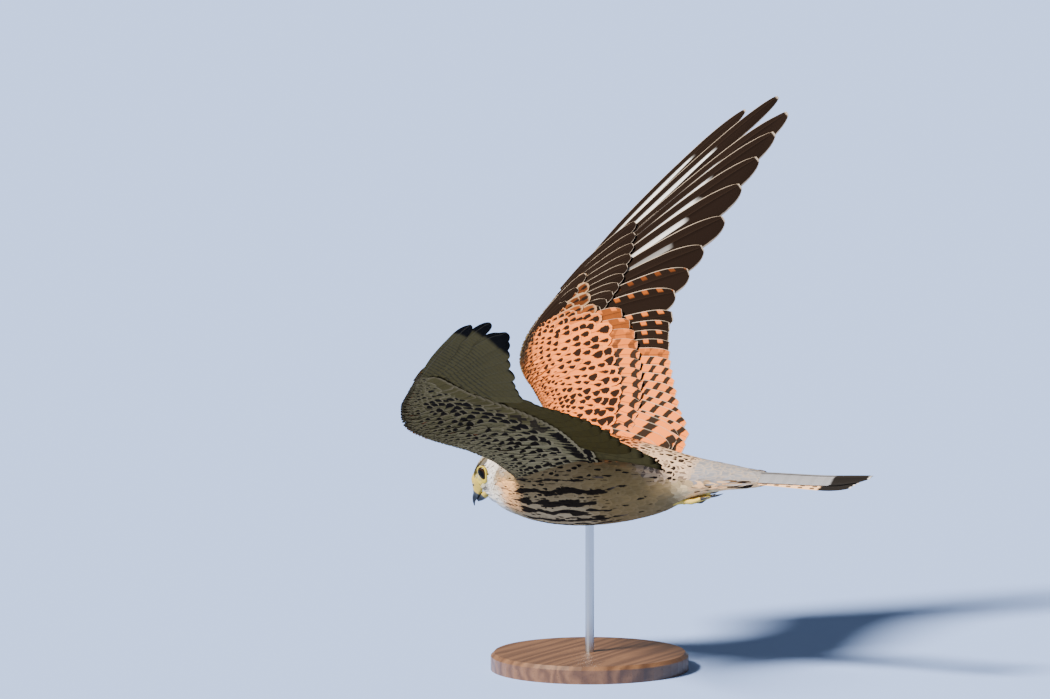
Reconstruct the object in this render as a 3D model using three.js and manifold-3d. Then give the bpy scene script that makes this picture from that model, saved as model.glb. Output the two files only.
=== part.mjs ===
// Common kestrel in flight, life size, on a plain display stand.
// Millimetres, +Z up. The origin is the centre of the base's underside. Before it is banked, the bird faces -Y
// and has its left side on +X. The bird's own sizes are given as how far out (to the side), forward or back,
// and up from the point midway between the shoulders.

import * as THREE from 'three';
import { mergeVertices } from 'three/addons/utils/BufferGeometryUtils.js';
import Module from 'manifold-3d';

const wasm = await Module();
wasm.setup();

const { clamp, lerp, degToRad } = THREE.MathUtils;

// Room between two pieces that touch, and the growth of a shape that trims its neighbour.
const GAP = 0.3;
const TRIM = 0.4;

// How the bird is held: nose a little down, left wing side lower, shoulders high above the base.
const POSE = { height: 130, noseDown: 4.36, bank: 11.45 };

const ROD_SIDES = 24;
const BASE_SIDES = 48;
const STAND = {
  radius: 68,
  thickness: 12,
  bevel: 2.5,
  rodRadius: 3,
  rodBack: 32,
  rodTop: -18,
  socketDepth: 8,
};

// Body from the throat to the end of the tail coverts: place along the bird, height of the middle line, half
// width, and reach above and below the middle line.
const BODY = [
  { forward: 46, rise: -8.5, half: 8.5, above: 8, below: 6 },
  { forward: 42, rise: -6.5, half: 13.5, above: 13, below: 11.5 },
  { forward: 33, rise: -2, half: 18.5, above: 18, below: 19.5 },
  { forward: 24, rise: 0.5, half: 22.5, above: 21, below: 25 },
  { forward: 10, rise: 1, half: 27.5, above: 25.5, below: 29.5 },
  { forward: -10, rise: 1, half: 31, above: 29, below: 32.5 },
  { forward: -34, rise: 1.5, half: 31.5, above: 30, below: 33.5 },
  { forward: -60, rise: 1, half: 28, above: 26, below: 30.5 },
  { forward: -85, rise: 0.3, half: 21.5, above: 20.2, below: 24.5 },
  { forward: -104, rise: -0.2, half: 16.5, above: 15.8, below: 16.3 },
  { forward: -120, rise: -0.8, half: 14, above: 12.4, below: 10.3 },
  { forward: -138, rise: -1.2, half: 12.6, above: 9, below: 7 },
  { forward: -156, rise: -1.6, half: 10.8, above: 5.2, below: 4.4 },
  { forward: -172, rise: -2, half: 8, above: 2.2, below: 2 },
];
const BODY_RINGS = 24;
const BODY_SIDES = 24;
const BODY_SQUARENESS = 2.15;
const NECK_CUT = 17;
const TAIL_CUT = -112;

// Head: the turn of the whole head against the body, then its stations from the back to the base of the bill,
// in the head's own frame.
const HEAD_POSE = { left: 3, forward: 35.9, up: 11.2, turnLeft: 30, noseDown: 34, tilt: -20 };
const HEAD = [
  { forward: -21, rise: 0, half: 5, above: 5, below: 5 },
  { forward: -18.5, rise: 0, half: 10.5, above: 10, below: 10.5 },
  { forward: -13, rise: 0, half: 14.6, above: 13.6, below: 14.8 },
  { forward: -4, rise: 0, half: 16.2, above: 13, below: 15 },
  { forward: 6, rise: 0, half: 15, above: 10.8, below: 14 },
  { forward: 12.5, rise: 0, half: 11.8, above: 8.6, below: 12.8 },
  { forward: 16.5, rise: -1, half: 8.6, above: 7.6, below: 11.2 },
  { forward: 19.5, rise: -3, half: 5.4, above: 7, below: 8.6 },
  { forward: 21.5, rise: -5, half: 2.8, above: 4, below: 5.4 },
];
const HEAD_RINGS = 14;
const HEAD_SIDES = 22;
const EYE = { out: 11, forward: 9.3, up: 2.6, radius: 5.3, turnForward: 24, turnUp: 4 };
const EYE_RING = { radius: 4.75, tube: 0.85, out: 2.6 };
const BROW = { length: 15, height: 2.2, width: 3.2, out: 10.8, forward: 8.4, up: 6.9, turn: 20 };

// Bill: the ridge and the cutting edge of the upper half, and the two edges of the lower half, each as how far
// forward and how high in the head's own frame, with the half width there.
const UPPER_BILL = [
  { ridge: [15, 7.4], edge: [14.5, -5.6], half: 7.4 },
  { ridge: [19.4, 5.5], edge: [18, -6.5], half: 6.2 },
  { ridge: [21.6, 2.5], edge: [20.8, -6.9], half: 5 },
  { ridge: [23.6, -0.8], edge: [23.4, -7.2], half: 3.9 },
  { ridge: [25.6, -3], edge: [25.6, -8.2], half: 3 },
  { ridge: [27.8, -4.6], edge: [27, -7.9], half: 2.1 },
  { ridge: [29.7, -7], edge: [28.9, -8.5], half: 1.2 },
  { ridge: [31, -9.9], edge: [30.4, -10.1], half: 0.35 },
];
const LOWER_BILL = [
  { ridge: [14, -7], edge: [14, -12.4], half: 5.6 },
  { ridge: [19.5, -7.3], edge: [20, -12.1], half: 4.7 },
  { ridge: [23.2, -7.8], edge: [23.8, -11.3], half: 3.2 },
  { ridge: [26.4, -8.6], edge: [26.6, -9.9], half: 1.5 },
];
const BILL_SIDES = 12;
const BILL_RINGS = 12;
const NOSTRIL = { radius: 0.85, forward: 20.8, up: 0.6, out: 4.7 };

// Wing, laid flat: out along the span from the shoulder, back along the chord, and lift above the wing's own
// surface. The span line rises at the dihedral and the chord turns by the twist, both changing between two
// places on the span. The wrist is held forward by the stretch, and the front edge of the hand is drawn back by
// the slack.
const SHOULDER = { out: 19, up: 8 };
const BEND = { from: 40, to: 190 };
const WRIST_REACH = { from: 30, full: 90, hold: 110, to: 220 };
const HAND_REACH = { from: 108, to: 286 };
const WING_POSES = {
  left: { side: 1, dihedral: [45.5, 42.1], twist: [-0.8, 9.3], stretch: -1, slack: 10 },
  right: { side: -1, dihedral: [33.6, 54.7], twist: [-1.1, 6.1], stretch: 3, slack: 0 },
};
const WRIST = { out: 90.6, back: -54.9 };
const LEADING_EDGE = [[-10, -11], [10, -14], [33, -19.5], [64, -40.5], [80, -53.5], [91, -58], [106, -54],
  [125, -42.5], [152, -25], [200, 11], [240, 51], [285, 97]];
const TRAILING_EDGE = [[-12, 80], [5, 99], [35, 85.3], [62, 74.6], [90, 63.6], [118, 55.5], [160, 64], [220, 88],
  [285, 110]];
const CAMBER = [[-10, 6.5], [90, 6], [150, 3], [285, 1]];
const FRONT_DROP = [[-10, 1], [30, 1.5], [50, 3], [72, 7.5], [88, 7.5], [104, 3], [125, 0.5], [285, 0]];
const REAR_RISE = [[-10, 2], [30, 4], [60, 7], [90, 5], [118, 1], [150, 0], [285, 0]];
const FLESH_DEPTH = [[-10, 13], [20, 12], [55, 9], [90, 8], [120, 5], [151, 2]];
const FLESH_REAR = [[-10, 52], [16, 46], [34, 32], [60, 20], [90, 4], [110, -12], [130, -21], [151, -21.5]];
const FLESH_INSET = 5;
const FLESH_SECTIONS = 12;
const FLESH_SIDES = 7;
const ARM_HAND_SEAM = { from: [100, -70], to: [131, 70], reach: 24 };

// Feathers of one wing, laid flat: where the shafts start and end, how far the web reaches in front of the shaft
// and behind it, how high the shaft is carried at its root and at its tip, and how far the web leans, front edge
// up. Primaries are counted from the wrist outwards and fan from it; the other rows are counted inwards.
const PRIMARIES = {
  reach: [118, 131, 146, 168, 190, 211, 231, 247, 250, 228],
  fan: [66.2, 60.6, 56, 52.1, 48.1, 45.9, 44.3, 43.2, 40.2, 37.3],
  roots: [[97, -38], [143, -28]],
  front: [6.5, 3.6],
  rear: [16, 9.5],
  lift: [0, 0],
  lean: 0.13,
  bow: 5,
  rows: 6,
};
const SECONDARIES = {
  count: 11,
  tips: [121, 31],
  roots: [[89, -34], [58, -8]],
  front: [6.5, 6.5],
  rear: [12.5, 12.5],
  lift: [0, 0],
  lean: 0.13,
  bow: 2,
  rows: 5,
};
const TERTIALS = {
  count: 3,
  tips: [22, 3],
  roots: [[52, -4], [34, -2]],
  front: [8, 8],
  rear: [11, 11],
  lift: [0.4, 1.2],
  lean: 0.13,
  bow: 2,
  rows: 5,
};
const SCAPULARS = {
  count: 3,
  tips: [6, -10],
  roots: [[34, 0], [10, 0]],
  short: 8,
  front: [10, 10],
  rear: [10, 10],
  lift: [1, 2.4],
  lean: 0.1,
  bow: 3,
  rows: 4,
};
const GREATER_COVERTS = {
  count: 9,
  tips: [120, 24],
  ends: [[20, 56], [50, 54], [78, 46], [101, 35], [116, 24], [125, 14]],
  roots: [[99, -34], [40, -6]],
  front: [7.5, 7.5],
  rear: [11, 11],
  lift: [1.4, 2.6],
  lean: 0.08,
  bow: 1.5,
  rows: 3,
};
const PRIMARY_COVERTS = {
  reach: [66, 77, 88, 99, 110, 120],
  fan: [61, 54.5, 49, 44.5, 40, 35.5],
  roots: [[99, -42], [139, -33]],
  front: [6, 4],
  rear: [9, 7],
  lift: [1.2, 2.5],
  lean: 0.1,
  bow: 2,
  rows: 3,
};
const ALULA = {
  reach: [48, 60, 71],
  fan: [39, 37, 34],
  roots: [[98, -48], [104, -49]],
  front: [3, 3],
  rear: [6, 5],
  lift: [2.4, 3.6],
  lean: 0.08,
  bow: 2,
  rows: 3,
};
const VANE = { thickness: 0.55, rootThickness: 1.3, rootWidth: 0.5, rounded: 0.8, tipWidth: 0.35 };
// The two outermost primaries narrow towards their tips, where they stand apart.
const FINGERS = { count: 2, from: 0.5, to: 0.72, width: 0.66 };

// Tail: pairs of feathers stacked from the middle pair on top to the outer pair, with coverts over their roots.
const TAIL = {
  pairs: 6,
  length: 248,
  root: 126,
  outerShort: 2.4,
  spacing: [0.6, 1.5],
  step: 0.4,
  top: 1.2,
  line: [-1.6, -2],
  front: 4.2,
  middleFront: 8,
  rear: 11,
  rows: 5,
};
const TAIL_COVERTS = {
  count: 4,
  across: 9.5,
  root: 136,
  length: 196,
  outerShort: 18,
  above: [6.6, 2],
  below: [-6.6, -1.9],
  half: 7.5,
  rows: 3,
};

// Foot, tucked up under the tail: places along it, each as out, back and up in the bird's frame.
const FOOT = {
  thigh: [8.6, 82, -17.5],
  pad: [8, 106, -14.6],
  shankRadius: 2,
  padRadius: 2.5,
  toeRadii: [2, 1.8, 1.3],
  clawRadii: [1.1, 0.8, 0.25],
};
const TOES = [
  { knuckle: [4.4, 114, -14.2], tip: [4, 121.5, -12.4], claw: [4.2, 129, -10.8] },
  { knuckle: [8.2, 117.5, -13.4], tip: [8.2, 128, -11], claw: [8.2, 137, -9.4] },
  { knuckle: [11.8, 114, -13.8], tip: [12.4, 122, -11.4], claw: [12.6, 129.5, -9.8] },
  { knuckle: [5, 109, -16], tip: [2.6, 113, -16.8], claw: [1.6, 118.5, -16.6] },
];

const COLOURS = {
  back: 0x9a6a45,
  wing: 0x6a4a38,
  breast: 0xc9b79a,
  grey: 0x8d8780,
  yellow: 0xd9ad2a,
  horn: 0x3b3f45,
  eye: 0x1a120c,
  claw: 0x17161a,
  wood: 0x6d4c33,
  steel: 0xb5b8bc,
};

// A smooth curve through places with rising x, read as a function of x.
function through(points) {
  const slope = (i) => {
    const a = points[Math.max(i - 1, 0)];
    const b = points[Math.min(i + 1, points.length - 1)];
    return (b[1] - a[1]) / (b[0] - a[0]);
  };
  return (x) => {
    const found = points.findIndex((point) => point[0] > x);
    const i = found < 0 ? points.length - 2 : Math.max(found - 1, 0);
    const [x0, y0] = points[i];
    const [x1, y1] = points[i + 1];
    const width = x1 - x0;
    const t = clamp((x - x0) / width, 0, 1);
    const rise = t * t * (3 - 2 * t);
    const easeIn = t * (1 - t) * (1 - t);
    const easeOut = t * t * (1 - t);
    return y0 + (y1 - y0) * rise + (slope(i) * easeIn - slope(i + 1) * easeOut) * width;
  };
}

// The rows of a table of stations, smoothly filled in to the wanted number.
function fillIn(stations, count) {
  const names = Object.keys(stations[0]);
  const curves = names.map((name) => through(stations.map((station, i) => [i, station[name]])));
  return Array.from({ length: count }, (_, row) => {
    const at = (row / (count - 1)) * (stations.length - 1);
    return Object.fromEntries(names.map((name, i) => [name, curves[i](at)]));
  });
}

// A geometry from points and triangles, turned if need be so that its faces point out.
function closedGeometry(points, faces) {
  let volume = 0;
  for (const [a, b, c] of faces) {
    volume += points[a].dot(points[b].clone().cross(points[c]));
  }
  const outward = volume > 0 ? faces : faces.map(([a, b, c]) => [a, c, b]);
  const geometry = new THREE.BufferGeometry().setFromPoints(points);
  geometry.setIndex(outward.flat());
  return geometry;
}

// A closed skin over rings that all have the same number of points, with a fan over each end.
function loft(rings) {
  const sides = rings[0].length;
  const points = rings.flat();
  const faces = [];
  for (let row = 0; row + 1 < rings.length; row += 1) {
    for (let i = 0; i < sides; i += 1) {
      const a = row * sides + i;
      const b = row * sides + ((i + 1) % sides);
      faces.push([a, b, b + sides], [a, b + sides, a + sides]);
    }
  }
  for (const [row, turned] of [[0, true], [rings.length - 1, false]]) {
    const centre = new THREE.Vector3();
    rings[row].forEach((point) => centre.addScaledVector(point, 1 / sides));
    const hub = points.push(centre) - 1;
    for (let i = 0; i < sides; i += 1) {
      const a = row * sides + i;
      const b = row * sides + ((i + 1) % sides);
      faces.push(turned ? [hub, b, a] : [hub, a, b]);
    }
  }
  return closedGeometry(points, faces);
}

// A thin plate between two grids of points, with both faces split into triangles alike.
function plate(upper, lower) {
  const rows = upper.length;
  const columns = upper[0].length;
  const points = [...upper.flat(), ...lower.flat()];
  const under = rows * columns;
  const faces = [];
  for (let r = 0; r + 1 < rows; r += 1) {
    for (let c = 0; c + 1 < columns; c += 1) {
      const a = r * columns + c;
      const [b, d, e] = [a + 1, a + columns, a + columns + 1];
      faces.push([a, e, b], [a, d, e]);
      faces.push([under + a, under + b, under + e], [under + a, under + e, under + d]);
    }
  }
  const rim = [];
  for (let c = 0; c + 1 < columns; c += 1) rim.push(c);
  for (let r = 0; r + 1 < rows; r += 1) rim.push(r * columns + columns - 1);
  for (let c = columns - 1; c > 0; c -= 1) rim.push((rows - 1) * columns + c);
  for (let r = rows - 1; r > 0; r -= 1) rim.push(r * columns);
  rim.forEach((a, i) => {
    const b = rim[(i + 1) % rim.length];
    faces.push([a, b, under + b], [a, under + b, under + a]);
  });
  return closedGeometry(points, faces);
}

// A tapered round piece along a few places, each with its radius.
function limb(places, radii, sides, sections) {
  const curve = new THREE.CatmullRomCurve3(places);
  const radius = through(radii.map((value, i) => [i / (radii.length - 1), value]));
  const frames = curve.computeFrenetFrames(sections - 1, false);
  const rings = Array.from({ length: sections }, (_, row) => {
    const t = row / (sections - 1);
    const centre = curve.getPointAt(t);
    return Array.from({ length: sides }, (__, i) => {
      const angle = (i / sides) * Math.PI * 2;
      return centre
        .clone()
        .addScaledVector(frames.normals[row], Math.cos(angle) * radius(t))
        .addScaledVector(frames.binormals[row], Math.sin(angle) * radius(t));
    });
  });
  return loft(rings);
}

// A closed geometry as a solid that can be joined and cut, and a solid back as a geometry.
function solidOf(geometry, matrix = new THREE.Matrix4()) {
  const bare = geometry.clone().applyMatrix4(matrix);
  bare.deleteAttribute('normal');
  bare.deleteAttribute('uv');
  const merged = mergeVertices(bare, 1e-4);
  return new wasm.Manifold(new wasm.Mesh({
    numProp: 3,
    vertProperties: new Float32Array(merged.attributes.position.array),
    triVerts: new Uint32Array(merged.index.array),
  }));
}

function geometryOf(solid) {
  const { vertProperties, triVerts } = solid.getMesh();
  const geometry = new THREE.BufferGeometry();
  geometry.setAttribute('position', new THREE.BufferAttribute(vertProperties, 3));
  geometry.setIndex(new THREE.BufferAttribute(triVerts, 1));
  geometry.computeVertexNormals();
  return geometry;
}

// The largest closed surface of a solid, which fills sealed hollows and drops loose scraps.
function largest(solid) {
  const pieces = solid.decompose();
  return pieces.reduce((best, piece) => (piece.volume() > best.volume() ? piece : best));
}

const joined = (solids) => solids.reduce((whole, solid) => whole.add(solid));

function mesh(name, geometry, colour, roughness = 0.8, metalness = 0) {
  const material = new THREE.MeshStandardMaterial({ color: colour, roughness, metalness });
  const made = new THREE.Mesh(geometry, material);
  made.name = name;
  return made;
}

// The bird's own frame: out to the left, forward, and up.
const inBird = (left, forward, up) => new THREE.Vector3(left, -forward, up);

const birdTurn = new THREE.Euler(degToRad(POSE.noseDown), degToRad(POSE.bank), 0, 'XYZ');
const birdPlace = inBird(0, -STAND.rodBack, 0).applyEuler(birdTurn).multiplyScalar(-1);
birdPlace.z = POSE.height;
const birdMatrix = new THREE.Matrix4().makeRotationFromEuler(birdTurn).setPosition(birdPlace);

// Body
function oval(station, sides, grow) {
  const power = 2 / BODY_SQUARENESS;
  return Array.from({ length: sides }, (_, i) => {
    const angle = (i / sides) * Math.PI * 2;
    const [across, up] = [Math.cos(angle), Math.sin(angle)];
    const reach = (up > 0 ? station.above : station.below) + grow;
    return inBird(
      (station.half + grow) * Math.sign(across) * Math.abs(across) ** power,
      station.forward,
      station.rise + reach * Math.sign(up) * Math.abs(up) ** power,
    );
  });
}

const bodyGeometry = (grow) => loft(fillIn(BODY, BODY_RINGS).map((row) => oval(row, BODY_SIDES, grow)));
const headGeometry = (grow) => loft(fillIn(HEAD, HEAD_RINGS).map((row) => oval(row, HEAD_SIDES, grow)));

// A block that holds all of the body between two places along it.
function slice(front, back) {
  const reach = 200;
  const block = new THREE.BoxGeometry(reach, front - back, reach);
  return solidOf(block, new THREE.Matrix4().makeTranslation(inBird(0, (front + back) / 2, 0)));
}

const headTurn = new THREE.Euler(
  degToRad(HEAD_POSE.noseDown),
  degToRad(HEAD_POSE.tilt),
  degToRad(HEAD_POSE.turnLeft),
  'ZXY',
);
const headPlace = inBird(HEAD_POSE.left, HEAD_POSE.forward, HEAD_POSE.up);
const headMatrix = new THREE.Matrix4().makeRotationFromEuler(headTurn).setPosition(headPlace);

const body = solidOf(bodyGeometry(0));
const bodyTrim = solidOf(bodyGeometry(TRIM));
const headTrim = solidOf(headGeometry(TRIM), headMatrix);
const noseTip = BODY[0].forward + 30;
const tailEnd = BODY.at(-1).forward - 30;

const rodHigh = POSE.height + STAND.rodTop;

// The upright rod with room round it, in the bird's own frame.
function rodSocket() {
  const room = STAND.rodRadius + GAP;
  const rod = new THREE.CylinderGeometry(room, room, rodHigh + GAP, ROD_SIDES);
  rod.rotateX(Math.PI / 2);
  rod.translate(0, 0, (rodHigh + GAP) / 2);
  return solidOf(rod, birdMatrix.clone().invert());
}

function makeTorso() {
  const trunk = body.intersect(slice(NECK_CUT - GAP / 2, TAIL_CUT + GAP / 2)).subtract(rodSocket());
  return mesh('torso', geometryOf(largest(trunk.subtract(headTrim))), COLOURS.breast);
}

function makeNeck() {
  const throat = body.intersect(slice(noseTip, NECK_CUT + GAP / 2)).subtract(headTrim);
  const bills = [[UPPER_BILL, BILL_RINGS], [LOWER_BILL, BILL_RINGS / 2]].map(([stations, rings]) => {
    return solidOf(billGeometry(stations, rings, TRIM), headMatrix);
  });
  return mesh('neck', geometryOf(largest(throat.subtract(joined(bills)))), COLOURS.breast);
}

// Head
function eyeCentre(side) {
  return inBird(side * EYE.out, EYE.forward, EYE.up);
}

function eyeAxis(side) {
  const forward = Math.sin(degToRad(EYE.turnForward));
  const up = Math.sin(degToRad(EYE.turnUp));
  return inBird(side * Math.sqrt(1 - forward ** 2 - up ** 2), forward, up);
}

function eyeBall(radius) {
  return new THREE.SphereGeometry(radius, 16, 10);
}

function eyeRing(side) {
  const ring = new THREE.TorusGeometry(EYE_RING.radius, EYE_RING.tube, 4, 16);
  const turn = new THREE.Quaternion().setFromUnitVectors(new THREE.Vector3(0, 0, 1), eyeAxis(side));
  const place = eyeCentre(side).addScaledVector(eyeAxis(side), EYE_RING.out);
  return solidOf(ring, new THREE.Matrix4().compose(place, turn, new THREE.Vector3(1, 1, 1)));
}

function brow(side) {
  const ridge = new THREE.SphereGeometry(1, 8, 5);
  ridge.scale(BROW.width, BROW.length / 2, BROW.height);
  ridge.rotateZ(side * degToRad(-BROW.turn));
  const place = inBird(side * BROW.out, BROW.forward, BROW.up);
  return solidOf(ridge, new THREE.Matrix4().makeTranslation(place));
}

function makeHead() {
  const sides = [1, -1];
  const skull = joined([solidOf(headGeometry(0)), ...sides.flatMap((side) => [eyeRing(side), brow(side)])]);
  const sockets = sides.map((side) => {
    return solidOf(eyeBall(EYE.radius + GAP), new THREE.Matrix4().makeTranslation(eyeCentre(side)));
  });
  return mesh('head', geometryOf(largest(skull.subtract(joined(sockets)))), COLOURS.breast);
}

function makeEye(side) {
  const eye = mesh(side > 0 ? 'eye_left' : 'eye_right', eyeBall(EYE.radius), COLOURS.eye, 0.1);
  eye.position.copy(eyeCentre(side));
  return eye;
}

function billGeometry(stations, sections, grow = 0) {
  const rows = stations.map(({ ridge, edge, half }) => {
    return { ridgeForward: ridge[0], ridgeUp: ridge[1], edgeForward: edge[0], edgeUp: edge[1], half };
  });
  const rings = fillIn(rows, sections).map((row) => {
    const top = inBird(0, row.ridgeForward, row.ridgeUp);
    const bottom = inBird(0, row.edgeForward, row.edgeUp);
    const middle = top.clone().lerp(bottom, 0.5);
    const rise = top.clone().sub(middle);
    rise.setLength(rise.length() + grow);
    return Array.from({ length: BILL_SIDES }, (_, i) => {
      const angle = (i / BILL_SIDES) * Math.PI * 2;
      const point = middle.clone().addScaledVector(rise, Math.sin(angle));
      point.x += (row.half + grow) * Math.cos(angle);
      return point;
    });
  });
  return loft(rings);
}

function makeBills() {
  const headRoom = solidOf(headGeometry(TRIM));
  const nostrils = [1, -1].map((side) => {
    const pit = new THREE.SphereGeometry(NOSTRIL.radius, 10, 6);
    const place = inBird(side * NOSTRIL.out, NOSTRIL.forward, NOSTRIL.up);
    return solidOf(pit, new THREE.Matrix4().makeTranslation(place));
  });
  const upper = solidOf(billGeometry(UPPER_BILL, BILL_RINGS)).subtract(headRoom).subtract(joined(nostrils));
  const upperRoom = solidOf(billGeometry(UPPER_BILL, BILL_RINGS, TRIM));
  const lower = solidOf(billGeometry(LOWER_BILL, BILL_RINGS / 2)).subtract(headRoom).subtract(upperRoom);
  return [
    mesh('bill_upper', geometryOf(largest(upper)), COLOURS.horn, 0.35),
    mesh('bill_lower', geometryOf(largest(lower)), COLOURS.horn, 0.35),
  ];
}

// Wings
const leadingEdge = through(LEADING_EDGE);
const trailingEdge = through(TRAILING_EDGE);
const camber = through(CAMBER);
const frontDrop = through(FRONT_DROP);
const rearRise = through(REAR_RISE);
const fleshDepth = through(FLESH_DEPTH);
const fleshRear = through(FLESH_REAR);

// How high the wing's surface lies: arched between its edges, with the front edge low and the rear edge high.
function wingSurface(out, back) {
  const middle = (leadingEdge(out) + trailingEdge(out)) / 2;
  const half = (trailingEdge(out) - leadingEdge(out)) / 2;
  const place = clamp((back - middle) / half, -1.2, 1.2);
  const slope = place < 0 ? frontDrop(out) : rearRise(out);
  return camber(out) * (1 - place * place) + slope * place * Math.abs(place);
}

// The place in the bird's frame of a point on a wing laid flat.
function wingChart({ side, dihedral, twist, stretch, slack }) {
  const bend = (out) => THREE.MathUtils.smoothstep(out, BEND.from, BEND.to);
  const angleAt = (pair, out) => degToRad(lerp(pair[0], pair[1], bend(out)));
  const last = 300;
  const spanLine = [new THREE.Vector2(SHOULDER.out, SHOULDER.up)];
  for (let out = 1; out <= last; out += 1) {
    const angle = angleAt(dihedral, out - 0.5);
    spanLine.push(spanLine.at(-1).clone().add(new THREE.Vector2(Math.cos(angle), Math.sin(angle))));
  }
  const onSpan = (out) => {
    if (out <= 0) {
      const angle = angleAt(dihedral, 0);
      return spanLine[0].clone().add(new THREE.Vector2(Math.cos(angle), Math.sin(angle)).multiplyScalar(out));
    }
    const i = Math.min(Math.floor(out), last - 1);
    return spanLine[i].clone().lerp(spanLine[i + 1], out - i);
  };
  const forwardAt = (out, back) => {
    const nearWrist = THREE.MathUtils.smoothstep(out, WRIST_REACH.from, WRIST_REACH.full)
      - THREE.MathUtils.smoothstep(out, WRIST_REACH.hold, WRIST_REACH.to);
    const alongHand = clamp((out - HAND_REACH.from) / (HAND_REACH.to - HAND_REACH.from), 0, 1);
    const rearness = (back - leadingEdge(out)) / (trailingEdge(out) - leadingEdge(out));
    return stretch * nearWrist - slack * Math.sin(Math.PI * alongHand) * clamp(1 - rearness, 0, 1);
  };
  return (out, back, lift) => {
    const rise = angleAt(dihedral, out);
    const turn = angleAt(twist, out);
    const above = lift + wingSurface(out, back);
    const square = above * Math.cos(turn) - back * Math.sin(turn);
    const rearward = back * Math.cos(turn) + above * Math.sin(turn) - forwardAt(out, back);
    const { x, y } = onSpan(out);
    return inBird(side * (x - square * Math.sin(rise)), -rearward, y + square * Math.cos(rise));
  };
}

// The fleshy part of the wing, thick at its front and thinning towards the feather roots.
function fleshGeometry(chart) {
  const first = LEADING_EDGE[0][0];
  const last = FLESH_REAR.at(-1)[0];
  const rings = Array.from({ length: FLESH_SECTIONS }, (_, row) => {
    const out = lerp(first, last, row / (FLESH_SECTIONS - 1));
    const front = leadingEdge(out) + FLESH_INSET * THREE.MathUtils.smoothstep(out, BEND.from, last);
    const rear = fleshRear(out);
    const profile = (t, up) => {
      const half = (fleshDepth(out) / 2) * Math.sin(Math.PI * t ** 0.6) ** 0.8;
      return chart(out, lerp(front, rear, t), up * half);
    };
    const steps = Array.from({ length: FLESH_SIDES - 1 }, (__, i) => ((i + 1) / FLESH_SIDES) ** 1.4);
    return [
      profile(0, 0),
      ...steps.map((t) => profile(t, 1)),
      profile(1, 0),
      ...steps.toReversed().map((t) => profile(t, -1)),
    ];
  });
  return loft(rings);
}

// The thin wall between the arm and the hand.
function seamGeometry(chart) {
  const steps = 8;
  const face = (shift) => Array.from({ length: steps }, (_, i) => {
    const t = i / (steps - 1);
    const out = lerp(ARM_HAND_SEAM.from[0], ARM_HAND_SEAM.to[0], t) + shift;
    const back = lerp(ARM_HAND_SEAM.from[1], ARM_HAND_SEAM.to[1], t);
    return [-1, 1].map((end) => chart(out, back, end * ARM_HAND_SEAM.reach));
  });
  return plate(face(GAP * 0.7), face(-GAP * 0.7));
}

// One feather as a thin closed plate on a surface, from its root to its rounded tip. The web in front of the
// shaft is carried higher than the web behind it, so that the next feather inwards lies over this one.
function featherGeometry(place, feather) {
  const { root, tip, front, rear, lift, lean, bow, rows, finger = 1 } = feather;
  const shaft = new THREE.Vector2(tip[0] - root[0], tip[1] - root[1]);
  const toFront = new THREE.Vector2(shaft.y, -shaft.x).normalize();
  const faces = [1, -1].map((face) => Array.from({ length: rows }, (_, row) => {
    const t = 1 - (1 - row / (rows - 1)) ** 1.5;
    const thickness = lerp(VANE.rootThickness, VANE.thickness, t);
    const sink = bow * 4 * t * (1 - t);
    const widen = lerp(VANE.rootWidth, 1, THREE.MathUtils.smoothstep(t, 0, 0.35));
    const end = clamp((t - VANE.rounded) / (1 - VANE.rounded), 0, 1);
    const width = widen * Math.sqrt(1 - end ** 2 * (1 - VANE.tipWidth ** 2));
    const narrow = lerp(1, finger, THREE.MathUtils.smoothstep(t, FINGERS.from, FINGERS.to));
    return [front, -rear * narrow].map((reach) => {
      const aside = reach * width + sink;
      const out = root[0] + shaft.x * t + toFront.x * aside;
      const back = root[1] + shaft.y * t + toFront.y * aside;
      return place(out, back, lerp(lift[0], lift[1], t) + lean * reach * width + (face * thickness) / 2);
    });
  }));
  return plate(...faces);
}

// The shared sizes of a row of feathers, with each pair of end values blended along the row.
function shared(row, t) {
  return {
    ...row,
    root: [lerp(row.roots[0][0], row.roots[1][0], t), lerp(row.roots[0][1], row.roots[1][1], t)],
    front: lerp(row.front[0], row.front[1], t),
    rear: lerp(row.rear[0], row.rear[1], t),
  };
}

// Feathers whose tips end on the trailing edge or on their own line.
function alongEdge(row) {
  const end = row.ends ? through(row.ends) : trailingEdge;
  return Array.from({ length: row.count }, (_, i) => {
    const t = i / (row.count - 1);
    const out = lerp(row.tips[0], row.tips[1], t);
    return { ...shared(row, t), tip: [out, end(out) - (row.short ?? 0)] };
  });
}

// Feathers that fan from the wrist.
function fanned(row) {
  return row.reach.map((length, i) => {
    const angle = degToRad(row.fan[i]);
    const tip = [WRIST.out + length * Math.cos(angle), WRIST.back + length * Math.sin(angle)];
    return { ...shared(row, i / (row.reach.length - 1)), tip };
  });
}

function primaries() {
  return fanned(PRIMARIES).map((feather, i, all) => {
    return i < all.length - FINGERS.count ? feather : { ...feather, finger: FINGERS.width };
  });
}

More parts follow.
